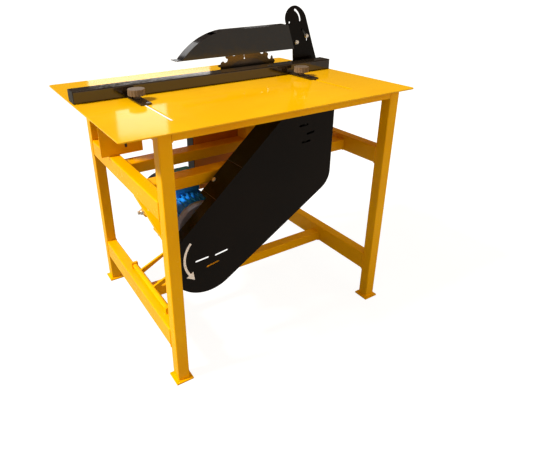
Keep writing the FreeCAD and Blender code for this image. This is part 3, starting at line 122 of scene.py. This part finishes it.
def empty_material(name):
    """A new material with no nodes, and its tree."""
    material = bpy.data.materials.new(name)
    material.use_nodes = True
    material.node_tree.nodes.clear()
    return material, material.node_tree


room = bpy.data.worlds.new("room")
room.use_nodes = True
tree = room.node_tree
mirrored = add(tree, "LightPath").outputs["Is Glossy Ray"]
strength = add(tree, "MapRange", {"Value": mirrored, "To Min": ROOM_STRENGTH,
                                  "To Max": ROOM_MIRRORED})
sky = tree.nodes["Background"]
sky.inputs["Color"].default_value = linear("#FFEEE0")
tree.links.new(strength.outputs["Result"], sky.inputs["Strength"])
backdrop = add(tree, "Background", {"Color": linear("#F9F9F8")})
beyond = add(tree, "MixShader", {0: add(tree, "LightPath").outputs["Is Camera Ray"],
                                 1: sky.outputs[0], 2: backdrop.outputs[0]})
tree.links.new(beyond.outputs[0], tree.nodes["World Output"].inputs["Surface"])
bpy.context.scene.world = room


def far_light(name, source, strength, spread, colour):
    """A light as far off as the sun, shining from the source direction."""
    lamp = bpy.data.objects.new(name, bpy.data.lights.new(name, "SUN"))
    lamp.data.energy = strength
    lamp.data.angle = spread
    lamp.data.color = linear(colour)[:3]
    lamp.matrix_world = source.to_track_quat("Z", "Y").to_matrix().to_4x4()
    bpy.context.scene.collection.objects.link(lamp)
    return lamp


far_light("key_light", KEY_FROM, KEY_STRENGTH, KEY_SPREAD, "#FFFBF2")
fill = far_light("fill_light", FILL_FROM, FILL_STRENGTH, FILL_SPREAD, "#FFE0C0")
fill.data.specular_factor = 0.0


def window(name, mirror, distance, size, power, facing=(0.0, 0.0, 1.0)):
    """A soft light that a surface at mirror, facing that way, shows to the camera."""
    sight = (Vector(mirror) - EYE).normalized()
    towards = sight.reflect(Vector(facing).normalized())
    lamp = bpy.data.objects.new(name, bpy.data.lights.new(name, "AREA"))
    lamp.data.shape = "RECTANGLE"
    lamp.data.size, lamp.data.size_y = size
    lamp.data.energy = power
    lamp.matrix_world = (Matrix.Translation(Vector(mirror) + towards * distance)
                         @ towards.to_track_quat("Z", "Y").to_matrix().to_4x4())
    lamp.visible_camera = False
    lamp.visible_diffuse = False
    bpy.context.scene.collection.objects.link(lamp)


window("left_window", (-0.395, -0.225, TABLE_HEIGHT), 2.2, (0.36, 0.25), 0.36)
window("middle_window", (0.075, -0.085, TABLE_HEIGHT), 2.2, (0.19, 0.06), 0.06)
window("back_window", (-0.16, 0.30, TABLE_HEIGHT), 2.4, (1.05, 0.16), 0.8)
window("hood_window", (-0.06, 0.13, 0.99), 2.4, (0.7, 0.5), 1.6, (-0.62, 0.0, 0.78))

floor_paint, tree = empty_material("pale_floor")
speckle = add(tree, "TexNoise", {"Scale": 2.5, "Detail": 4.0,
                                 "Vector": add(tree, "TexCoord").outputs["Object"]})
pale = add(tree, "Mix", {"Factor": speckle.outputs["Fac"], "A": linear("#F7F7F6"),
                         "B": linear("#FBFBFA")}, data_type="RGBA")
faint = add(tree, "BsdfDiffuse", {"Color": linear("#6C6C6B")})
matt = add(tree, "BsdfDiffuse", {"Color": linear("#A0A09E")})
glow = add(tree, "Emission", {"Color": pale.outputs["Result"], "Strength": FLOOR_GLOW})
both = add(tree, "AddShader", {0: faint.outputs[0], 1: glow.outputs[0]})
seen = add(tree, "LightPath").outputs["Is Camera Ray"]
shown = add(tree, "MixShader", {0: seen, 1: matt.outputs[0], 2: both.outputs[0]})
add(tree, "OutputMaterial", {"Surface": shown.outputs[0]})


def mesh_object(name, bm, material, smooth_angle=30.0):
    """Puts a finished bmesh in the scene, smooth except across its sharp edges."""
    mesh = bpy.data.meshes.new(name)
    bm.to_mesh(mesh)
    bm.free()
    mesh.polygons.foreach_set("use_smooth", [True] * len(mesh.polygons))
    mesh.set_sharp_from_angle(angle=math.radians(smooth_angle))
    mesh.materials.append(material)
    piece = bpy.data.objects.new(name, mesh)
    bpy.context.scene.collection.objects.link(piece)
    return piece


bm = bmesh.new()
bmesh.ops.create_grid(bm, x_segments=1, y_segments=1, size=FLOOR_HALF)
mesh_object("studio_floor", bm, floor_paint)


# ---- welded frame ----
# Square steel tube, cut, welded at every joint and then powder coated in one go. Powder coat is
# baked polyester: a thick, even gloss with a fine orange peel, dust, and a deeper tone where the
# film is thin.
FRAME_NODES = ("front_left_leg", "front_right_leg", "back_left_leg", "back_right_leg",
               "upper_left_rail", "upper_right_rail", "lower_left_rail", "lower_right_rail",
               "front_top_rail", "back_top_rail", "side_top_rails", "front_arbor_beam",
               "back_arbor_beam", "lower_stretcher")
ORANGE_PEEL = 2.2               # mm from crest to crest
PATCH = 260.0                   # mm, tone patches in the film
DUST_SPECK = 14.0               # mm
BODY_OF = {node: body for body, nodes in frame["record"]["behaviour"]["bodies"].items()
           for node in nodes}


def dress(node, material):
    """Gives a CAD node its finish."""
    for slot in frame["nodes"][node].material_slots:
        slot.material = material


def powder_coat(name, bright, deep, dust, dust_amount, gloss, shine):
    """Cured powder on steel: two tones of one colour, orange peel, dust that dulls the gloss."""
    material, tree = empty_material(name)
    place = add(tree, "TexCoord").outputs["Object"]
    patches = add(tree, "TexNoise", {"Vector": place, "Scale": 1000.0 / PATCH, "Detail": 3.0})
    tone = add(tree, "MapRange", {"Value": patches.outputs["Fac"], "From Min": 0.35,
                                  "From Max": 0.65})
    film = add(tree, "Mix", {"Factor": tone.outputs["Result"], "A": linear(deep),
                             "B": linear(bright)}, data_type="RGBA")
    specks = add(tree, "TexNoise", {"Vector": place, "Scale": 1000.0 / DUST_SPECK, "Detail": 5.0,
                                    "Roughness": 0.6})
    settled = add(tree, "MapRange", {"Value": specks.outputs["Fac"], "From Min": 0.50,
                                     "From Max": 0.80, "To Max": dust_amount})
    dusty = add(tree, "Mix", {"Factor": settled.outputs["Result"], "A": film.outputs["Result"],
                              "B": linear(dust)}, data_type="RGBA")
    rough = add(tree, "MapRange", {"Value": specks.outputs["Fac"], "From Min": 0.4,
                                   "From Max": 0.8, "To Min": gloss, "To Max": gloss + 0.12})
    peel = add(tree, "TexNoise", {"Vector": place, "Scale": 1000.0 / ORANGE_PEEL, "Detail": 1.5})
    bump = add(tree, "Bump", {"Height": peel.outputs["Fac"], "Strength": 0.10,
                              "Distance": 0.00006})
    shader = add(tree, "BsdfPrincipled", {
        "Base Color": dusty.outputs["Result"], "Roughness": rough.outputs["Result"],
        "Normal": bump.outputs["Normal"], "IOR": 1.5, "Specular IOR Level": shine})
    add(tree, "OutputMaterial", {"Surface": shader.outputs[0]})
    return material


yellow_coat = powder_coat("yellow_powder_coat", "#F7BE00", "#F2B200", "#D0A018", 0.08, 0.20, 0.16)
for node in FRAME_NODES:
    dress(node, yellow_coat)


# ---- weld beads ----
# Every tube end is welded all round. The beads are low ripples of steel, laid before the frame
# was coated, so they wear the same yellow.
BEAD_RADIUS = 0.0026
RIPPLE = 0.0036
RIPPLE_DEPTH = 0.80


def add_bead(bm, start, end):
    """One straight rippled bead from start to end."""
    start = Vector(start)
    run = Vector(end) - start
    made = bmesh.ops.create_cone(bm, cap_ends=True, segments=8, radius1=BEAD_RADIUS,
                                 radius2=BEAD_RADIUS, depth=run.length)
    along = [e for e in {e for v in made["verts"] for e in v.link_edges}
             if abs(e.verts[0].co.z - e.verts[1].co.z) > 1e-6]
    cuts = max(2, int(run.length / RIPPLE))
    bmesh.ops.subdivide_edges(bm, edges=along, cuts=cuts, use_grid_fill=False)
    bead = [v for v in bm.verts if not v.tag]
    step = run.length / (cuts + 1)
    for v in bead:
        ring = round((v.co.z + run.length / 2) / step)
        if ring % 2:
            v.co.x *= RIPPLE_DEPTH
            v.co.y *= RIPPLE_DEPTH
        v.tag = True
    turn = run.to_track_quat("Z", "Y").to_matrix().to_4x4()
    bmesh.ops.transform(bm, matrix=Matrix.Translation(start + run / 2) @ turn, verts=bead)


def add_weld_round(bm, normal, level, low, high):
    """Beads round a rectangle that lies square to the normal axis, at level."""
    others = [i for i in range(3) if i != normal]
    corners = []
    for a, b in ((0, 0), (1, 0), (1, 1), (0, 1)):
        corner = [0.0, 0.0, 0.0]
        corner[normal] = level
        corner[others[0]] = (low, high)[a][others[0]]
        corner[others[1]] = (low, high)[b][others[1]]
        corners.append(corner)
    for i in range(4):
        add_bead(bm, corners[i], corners[(i + 1) % 4])


bm = bmesh.new()
for node, normal in (("upper_left_rail", 1), ("upper_right_rail", 1), ("lower_left_rail", 1),
                     ("lower_right_rail", 1), ("front_top_rail", 0), ("back_top_rail", 0),
                     ("front_arbor_beam", 0), ("back_arbor_beam", 0), ("lower_stretcher", 0)):
    low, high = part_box(node)
    for end in (low, high):
        add_weld_round(bm, normal, end[normal], low, high)
for node in ("front_left_leg", "front_right_leg", "back_left_leg", "back_right_leg"):
    low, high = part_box(node)
    add_weld_round(bm, 2, low[2], low, high)
for v in bm.verts:
    v.co.z = min(v.co.z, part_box("table_top")[0][2])
frame_welds = mesh_object("frame_welds", bm, yellow_coat, 80)
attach(frame_welds, "frame")


# ---- foot plates, table sheet and small yellow plates ----
# Sheared plate with its edges broken by the grinder before coating. The table sheet is rubbed
# along the feed, so its gloss is scratched lengthways and paler where it has worn in patches.
SCRATCH = 1.6                   # mm between scratches, drawn coarser than the real ones
MERGE = 0.00002                 # a CAD mesh's corners closer than this are one
FLAT_WITHIN = math.radians(0.6)
SMOOTH_BELOW = 50.0             # degrees


def eased(node, width, material, sides=2, sharp_from=35.0, between=None):
    """A copy of a CAD node with its sharp edges rounded, standing in for it.

    A piece given between is baked in place and left out of every body; the bodies and points that
    between names are not used."""
    source = frame["nodes"][node]
    bm = bmesh.new()
    bm.from_mesh(source.data)
    for layer in list(bm.loops.layers.float_vector):
        bm.loops.layers.float_vector.remove(layer)
    bmesh.ops.remove_doubles(bm, verts=bm.verts, dist=MERGE)
    bmesh.ops.dissolve_limit(bm, angle_limit=FLAT_WITHIN, verts=bm.verts, edges=bm.edges)
    sharp = [e for e in bm.edges if len(e.link_faces) == 2
             and e.calc_face_angle(0.0) > math.radians(sharp_from)]
    bmesh.ops.bevel(bm, geom=sharp, offset=width, offset_type="OFFSET", affect="EDGES",
                    segments=sides, profile=0.5, material=-1, clamp_overlap=True)
    piece = mesh_object(node + "_eased", bm, material, SMOOTH_BELOW)
    level = piece.modifiers.new("flat_faces", "WEIGHTED_NORMAL")
    level.keep_sharp = True
    if between:
        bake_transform(piece)
    else:
        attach(piece, BODY_OF[node])
    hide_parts(node)
    return piece


def rubbed_coat(name):
    """The table's coat: the frame's yellow with fine scratches along X and a rubbed band."""
    material, tree = empty_material(name)
    place = add(tree, "TexCoord").outputs["Object"]
    stretched = add(tree, "Mapping", {"Vector": place, "Scale": (0.012, 1.0, 1.0)})
    lines = add(tree, "TexNoise", {"Vector": stretched.outputs["Vector"],
                                   "Scale": 1000.0 / SCRATCH, "Detail": 2.0})
    cut = add(tree, "MapRange", {"Value": lines.outputs["Fac"], "From Min": 0.60,
                                 "From Max": 0.72})
    patches = add(tree, "TexNoise", {"Vector": place, "Scale": 1000.0 / PATCH, "Detail": 4.0})
    worn = add(tree, "MapRange", {"Value": patches.outputs["Fac"], "From Min": 0.45,
                                  "From Max": 0.70})
    film = add(tree, "Mix", {"Factor": worn.outputs["Result"], "A": linear("#F5BE00"),
                             "B": linear("#F8C600")}, data_type="RGBA")
    marks = add(tree, "Math", {0: cut.outputs["Result"], 1: worn.outputs["Result"]},
                operation="MULTIPLY")
    scratched = add(tree, "Mix", {"Factor": marks.outputs["Value"],
                                  "A": film.outputs["Result"], "B": linear("#FFCB3D")},
                    data_type="RGBA")
    rough = add(tree, "MapRange", {"Value": marks.outputs["Value"], "To Min": 0.09,
                                   "To Max": 0.30})
    peel = add(tree, "TexNoise", {"Vector": place, "Scale": 1000.0 / ORANGE_PEEL, "Detail": 1.5})
    bump = add(tree, "Bump", {"Height": peel.outputs["Fac"], "Strength": 0.18,
                              "Distance": 0.00012})
    shader = add(tree, "BsdfPrincipled", {
        "Base Color": scratched.outputs["Result"], "Roughness": rough.outputs["Result"],
        "Normal": bump.outputs["Normal"], "IOR": 1.5, "Specular IOR Level": 0.45})
    add(tree, "OutputMaterial", {"Surface": shader.outputs[0]})
    return material


table_coat = rubbed_coat("table_powder_coat")
eased("table_top", 0.0010, table_coat)
eased("foot_plates", 0.0012, yellow_coat)
eased("arbor_pedestals", 0.0015, yellow_coat)
eased("switch_plate", 0.0007, yellow_coat)
eased("tension_brace", 0.0010, yellow_coat)
eased("motor_cradle", 0.0010, yellow_coat)
eased("cradle_hinge_pin", 0.0012, yellow_coat)


# ---- black sheet parts ----
# Hood, bracket, belt guard and fence: folded or sawn steel, powder coated black. The fence and
# its straps are glossier and browner, the hood greyer with dust, the guard and bracket deepest.
black_coat = powder_coat("black_powder_coat", "#150D06", "#0E0804", "#2A1E14", 0.20, 0.16, 0.22)
gloss_black = powder_coat("gloss_black_coat", "#33281A", "#271E13", "#4A3A26", 0.15, 0.06, 1.0)
hood_black = powder_coat("hood_black_coat", "#1A1514", "#120E0D", "#3A3029", 0.25, 0.10, 1.0)
eased("hood_bracket", 0.0009, black_coat)
eased("blade_hood", 0.0009, hood_black)
eased("belt_guard_cover", 0.0008, black_coat)
eased("belt_guard_back", 0.0006, black_coat)
eased("fence_straps", 0.0010, gloss_black)
# The housing end cover is a black sheet standing where the open end of the housing shows only shade
# inside: its black coat is painted shade.
eased("housing_end_cover", 0.0005, black_coat)
eased("fence_tube", 0.0004, gloss_black)


# ---- blade housing ----
# Thin folded sheet in the frame's yellow powder, coloured a deeper orange as painted shade for its
# place under the table; rougher, and dusty from the sawing inside it.
# The deeper orange of this coat is painted shade: the housing wears the frame's yellow.
shaded_housing_coat = powder_coat("housing_coat_with_painted_shade", "#E29000", "#CF7A00", "#A87C3C", 0.25, 0.34, 0.30)
eased("blade_housing", 0.0006, shaded_housing_coat)


# ---- saw blade ----
# Hardened steel plate, ground in fine rings, with a lacquered middle and brazed tips that are
# duller and yellower than the plate.
RING = 1.1                      # mm between grinding rings
GROUND_FROM = 0.132             # m from the hub, where the lacquered middle ends
TIP_DEPTH = 0.0084
SOFT_EDGE = 0.0004              # half the width over which one finish gives way to the next


def middle(node):
    """The middle of a CAD node's box."""
    low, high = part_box(node)
    return (Vector(low) + Vector(high)) / 2


blade_low, blade_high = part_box("saw_blade")
blade_radius = (blade_high[0] - blade_low[0]) / 2


def ground_steel(name, centre):
    """Steel ground in rings round its centre, which catch the light as fine dark circles."""
    material, tree = empty_material(name)
    place = add(tree, "TexCoord").outputs["Object"]
    centred = add(tree, "Mapping", {"Vector": place, "Location": tuple(-c for c in centre)})
    flat = add(tree, "VectorMath", {0: centred.outputs["Vector"], 1: (1.0, 0.0, 1.0)},
               operation="MULTIPLY")
    reach = add(tree, "VectorMath", {0: flat.outputs["Vector"]}, operation="LENGTH")
    rings = add(tree, "TexNoise", {"W": add(tree, "Math", {
        0: reach.outputs["Value"], 1: 1000.0 / RING}, operation="MULTIPLY").outputs["Value"],
        "Scale": 1.0, "Detail": 3.0}, noise_dimensions="1D")
    rim = add(tree, "MapRange", {"Value": reach.outputs["Value"],
                                 "From Min": GROUND_FROM - SOFT_EDGE,
                                 "From Max": GROUND_FROM + SOFT_EDGE})
    tip = add(tree, "MapRange", {"Value": reach.outputs["Value"],
                                 "From Min": blade_radius - TIP_DEPTH - SOFT_EDGE,
                                 "From Max": blade_radius - TIP_DEPTH + SOFT_EDGE})
    stain = add(tree, "TexNoise", {"Vector": place, "Scale": 22.0, "Detail": 5.0})
    plate = add(tree, "Mix", {"Factor": stain.outputs["Fac"], "A": linear("#56535A"),
                              "B": linear("#7C7260")}, data_type="RGBA")
    ringed = add(tree, "Mix", {"Factor": rim.outputs["Result"], "A": plate.outputs["Result"],
                               "B": linear("#7A6A4C")}, data_type="RGBA")
    tipped = add(tree, "Mix", {"Factor": tip.outputs["Result"], "A": ringed.outputs["Result"],
                               "B": linear("#6B5D44")}, data_type="RGBA")
    rough = add(tree, "MapRange", {"Value": rings.outputs["Fac"], "From Min": 0.3,
                                   "From Max": 0.7, "To Min": 0.18, "To Max": 0.40})
    bump = add(tree, "Bump", {"Height": rings.outputs["Fac"], "Strength": 0.25,
                              "Distance": 0.00008})
    shader = add(tree, "BsdfPrincipled", {
        "Base Color": tipped.outputs["Result"], "Metallic": 1.0,
        "Roughness": rough.outputs["Result"], "Normal": bump.outputs["Normal"]})
    add(tree, "OutputMaterial", {"Surface": shader.outputs[0]})
    return material


eased("saw_blade", 0.0003, ground_steel("ground_blade_steel", middle("arbor_shaft")), 1)


# ---- turned and plated steel ----
# Shaft, rotor and flanges are turned and left bare; nuts, bolts and rods are zinc plated, which
# gives a pale, cloudy grey; pulleys and bearings are machined cast iron, dark and coarse.
def bare_metal(name, light, dark, rough_low, rough_high, grain):
    """Metal with no coat, clouded between two tones; grain is the clouds' size in mm."""
    material, tree = empty_material(name)
    place = add(tree, "TexCoord").outputs["Object"]
    cloud = add(tree, "TexNoise", {"Vector": place, "Scale": 1000.0 / grain, "Detail": 6.0})
    tone = add(tree, "MapRange", {"Value": cloud.outputs["Fac"], "From Min": 0.32,
                                  "From Max": 0.68})
    colour = add(tree, "Mix", {"Factor": tone.outputs["Result"], "A": linear(dark),
                               "B": linear(light)}, data_type="RGBA")
    rough = add(tree, "MapRange", {"Value": cloud.outputs["Fac"], "From Min": 0.3,
                                   "From Max": 0.7, "To Min": rough_low, "To Max": rough_high})
    bump = add(tree, "Bump", {"Height": cloud.outputs["Fac"], "Strength": 0.15,
                              "Distance": 0.0001})
    shader = add(tree, "BsdfPrincipled", {
        "Base Color": colour.outputs["Result"], "Metallic": 1.0,
        "Roughness": rough.outputs["Result"], "Normal": bump.outputs["Normal"]})
    add(tree, "OutputMaterial", {"Surface": shader.outputs[0]})
    return material


zinc = bare_metal("zinc_plated_steel", "#FFFFFF", "#E2E4E6", 0.34, 0.55, 9.0)
turned = bare_metal("turned_steel", "#C9CACC", "#8E9092", 0.20, 0.36, 1.5)
cast_iron = bare_metal("machined_cast_iron", "#6A6A6C", "#3F4042", 0.42, 0.62, 4.0)
for node in ("frame_bolts", "motor_bolts", "hood_bolts", "tension_rod", "arbor_nut"):
    eased(node, 0.0006, zinc)
eased("belt_guard_screws", 0.0010, zinc, 3)
dress("clamp_studs", zinc)
for node in ("arbor_shaft", "rotor"):
    eased(node, 0.0010, turned)
for node in ("inner_flange", "outer_flange"):
    eased(node, 0.0008, turned)
for node in ("arbor_pulley", "motor_pulley"):
    eased(node, 0.0006, cast_iron)
for node in ("front_arbor_bearing", "back_arbor_bearing"):
    eased(node, 0.0016, cast_iron, 3)


# ---- moulded parts ----
# Knobs, caps, gland and fan are moulded nylon, switch box and buttons ABS, all with a fine
# spark-eroded texture that takes the shine off; the belts are matt, fabric-faced rubber.
def moulded(name, light, dark, roughness, texture):
    """Plastic or rubber from a mould; texture is the grain of its skin in mm."""
    material, tree = empty_material(name)
    place = add(tree, "TexCoord").outputs["Object"]
    grain = add(tree, "TexNoise", {"Vector": place, "Scale": 1000.0 / texture, "Detail": 2.0})
    cloud = add(tree, "TexNoise", {"Vector": place, "Scale": 60.0, "Detail": 5.0})
    colour = add(tree, "Mix", {"Factor": cloud.outputs["Fac"], "A": linear(dark),
                               "B": linear(light)}, data_type="RGBA")
    rough = add(tree, "MapRange", {"Value": cloud.outputs["Fac"], "To Min": roughness - 0.08,
                                   "To Max": roughness + 0.12})
    bump = add(tree, "Bump", {"Height": grain.outputs["Fac"], "Strength": 0.3,
                              "Distance": 0.0001})
    shader = add(tree, "BsdfPrincipled", {
        "Base Color": colour.outputs["Result"], "Roughness": rough.outputs["Result"],
        "Normal": bump.outputs["Normal"], "IOR": 1.5})
    add(tree, "OutputMaterial", {"Surface": shader.outputs[0]})
    return material


dark_nylon = moulded("dark_nylon", "#3B3A38", "#262523", 0.48, 0.8)
knob_nylon = moulded("knob_nylon", "#8E7D6C", "#6A5B4D", 0.42, 0.8)
eased("left_clamp_knob", 0.0014, knob_nylon, 3)
eased("right_clamp_knob", 0.0014, knob_nylon, 3)
eased("fence_end_caps", 0.0006, dark_nylon)
eased("cooling_fan", 0.0005, dark_nylon)
eased("switch_gland", 0.0006, dark_nylon)
eased("switch_box", 0.0010, moulded("switch_abs", "#4C4E50", "#3C3E40", 0.45, 1.0))
eased("start_button", 0.0004, moulded("green_button", "#1E7A35", "#17642B", 0.3, 2.0))
eased("stop_button", 0.0004, moulded("red_button", "#C0201C", "#A31815", 0.3, 2.0))
PULLEY_CLEAR = 0.060            # from a pulley's middle to where the belt's straight run begins
belt_rubber = moulded("belt_rubber", "#1F1E1D", "#151413", 0.7, 1.2)
arbor_end = middle("arbor_pulley")
motor_end = middle("motor_pulley")
run = (motor_end - arbor_end).normalized()
for node in ("front_drive_belt", "back_drive_belt"):
    eased(node, 0.0012, belt_rubber, between=(
        "frame", "cradle", tuple(arbor_end + run * PULLEY_CLEAR),
        tuple(motor_end - run * PULLEY_CLEAR)))


# ---- motor ----
# Ribbed cast body in blue enamel, brushed on thick and glossy, between cast end shields in a
# matt grey paint, with a dark pressed cover over the fan and a terminal box on top.
blue_enamel = powder_coat("blue_motor_enamel", "#33AEFF", "#1F95F5", "#6F8CA6", 0.12, 0.28, 0.5)
dress("motor_body", blue_enamel)
eased("terminal_box", 0.0012, blue_enamel)
eased("motor_fan_cover", 0.0006, powder_coat("fan_cover_enamel", "#2A3038", "#1E242B",
                                             "#5A5650", 0.3, 0.32, 0.4))
eased("motor_end_shields", 0.0020, moulded("grey_cast_shield", "#A9ACBE", "#8E91A4", 0.45, 2.5),
      3)


# ---- turning arrow ----
# A painted arrow on the belt guard shows which way the blade turns: one stencilled coat of
# flat white, worn thin in places.
ARROW_CENTRE = (-0.237, 0.388)  # X and Z on the guard's face
ARROW_RADIUS = 0.090
ARROW_WIDTH = 0.0085
ARROW_FROM, ARROW_TO = 136.0, 214.0     # degrees round from +X
ARROW_STEPS = 24
ARROW_HEAD = 0.030
PAINT = 0.00025


def stencil_white(name):
    """White paint that thins to grey in specks."""
    material, tree = empty_material(name)
    place = add(tree, "TexCoord").outputs["Object"]
    thin = add(tree, "TexNoise", {"Vector": place, "Scale": 180.0, "Detail": 6.0})
    cover = add(tree, "MapRange", {"Value": thin.outputs["Fac"], "From Min": 0.30,
                                   "From Max": 0.42})
    colour = add(tree, "Mix", {"Factor": cover.outputs["Result"], "A": linear("#B9B7B2"),
                               "B": linear("#FFFFFF")}, data_type="RGBA")
    shader = add(tree, "BsdfPrincipled", {"Base Color": colour.outputs["Result"],
                                          "Roughness": 0.5, "IOR": 1.45})
    add(tree, "OutputMaterial", {"Surface": shader.outputs[0]})
    return material


def thicken(bm, depth):
    """Gives flat faces in the XZ plane a thickness towards the front."""
    made = bmesh.ops.extrude_face_region(bm, geom=bm.faces[:])
    bmesh.ops.translate(bm, vec=(0.0, -depth, 0.0),
                        verts=[g for g in made["geom"] if isinstance(g, bmesh.types.BMVert)])
    bmesh.ops.recalc_face_normals(bm, faces=bm.faces)


white_stencil = stencil_white("stencil_white")
guard_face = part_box("belt_guard_cover")[0][1]
bm = bmesh.new()
spoke = [bm.verts.new((r, 0.0, 0.0)) for r in (ARROW_RADIUS - ARROW_WIDTH / 2,
                                               ARROW_RADIUS + ARROW_WIDTH / 2)]
bar = bm.edges.new(spoke)
turn = Matrix.Rotation(-math.radians(ARROW_FROM), 3, "Y")
bmesh.ops.rotate(bm, verts=spoke, matrix=turn)
bmesh.ops.spin(bm, geom=[bar] + spoke, cent=(0, 0, 0), axis=(0, 1, 0), steps=ARROW_STEPS,
               angle=-math.radians(ARROW_TO - ARROW_FROM), use_merge=False)
head_at = math.radians(ARROW_TO)
out = Vector((math.cos(head_at), 0.0, math.sin(head_at)))
onward = Vector((-math.sin(head_at), 0.0, math.cos(head_at)))
bm.faces.new([bm.verts.new(out * (ARROW_RADIUS - ARROW_HEAD / 2)),
              bm.verts.new(out * (ARROW_RADIUS + ARROW_HEAD / 2)),
              bm.verts.new(out * ARROW_RADIUS + onward * ARROW_HEAD)])
bmesh.ops.translate(bm, verts=bm.verts, vec=(ARROW_CENTRE[0], guard_face, ARROW_CENTRE[1]))
thicken(bm, PAINT)
arrow = mesh_object("turning_arrow", bm, white_stencil)
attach(arrow, "frame")


# ---- guard wall seams ----
# The guard's edge strip is bent from three lengths of sheet. Each joint is a lap spot welded across
# the wall, and its edge is a fine raised line coated paler than the guard, a painted highlight
# along the lap.
WALL_TOP = (0.0945, 0.843)      # where the sloping wall meets the table
WALL_SLOPE = math.radians(41.3)
SEAMS = (0.273, 0.402)          # down the wall from its top
SEAM_WIDTH = 0.0018
SEAM_HEIGHT = 0.0006
SEAM_INSET = 0.0015

guard_low, guard_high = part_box("belt_guard_cover")
bm = bmesh.new()
for along in SEAMS:
    seam = bmesh.ops.create_cube(bm, size=1.0)["verts"]
    bmesh.ops.scale(bm, verts=seam, vec=(
        SEAM_WIDTH, guard_high[1] - guard_low[1] - 2 * SEAM_INSET, 2 * SEAM_HEIGHT))
    bmesh.ops.rotate(bm, verts=seam, matrix=Matrix.Rotation(-WALL_SLOPE, 3, "Y"))
    bmesh.ops.translate(bm, verts=seam, vec=(
        WALL_TOP[0] - along * math.cos(WALL_SLOPE), (guard_low[1] + guard_high[1]) / 2,
        WALL_TOP[1] - along * math.sin(WALL_SLOPE)))
# The seams' pale brown coat is a painted highlight along each lap edge, not the guard's own black.
seams = mesh_object("guard_wall_seams", bm, powder_coat(
    "seam_painted_highlight_coat", "#5A463C", "#45342C", "#6A5A4A", 0.20, 0.30, 0.4))
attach(seams, "frame")
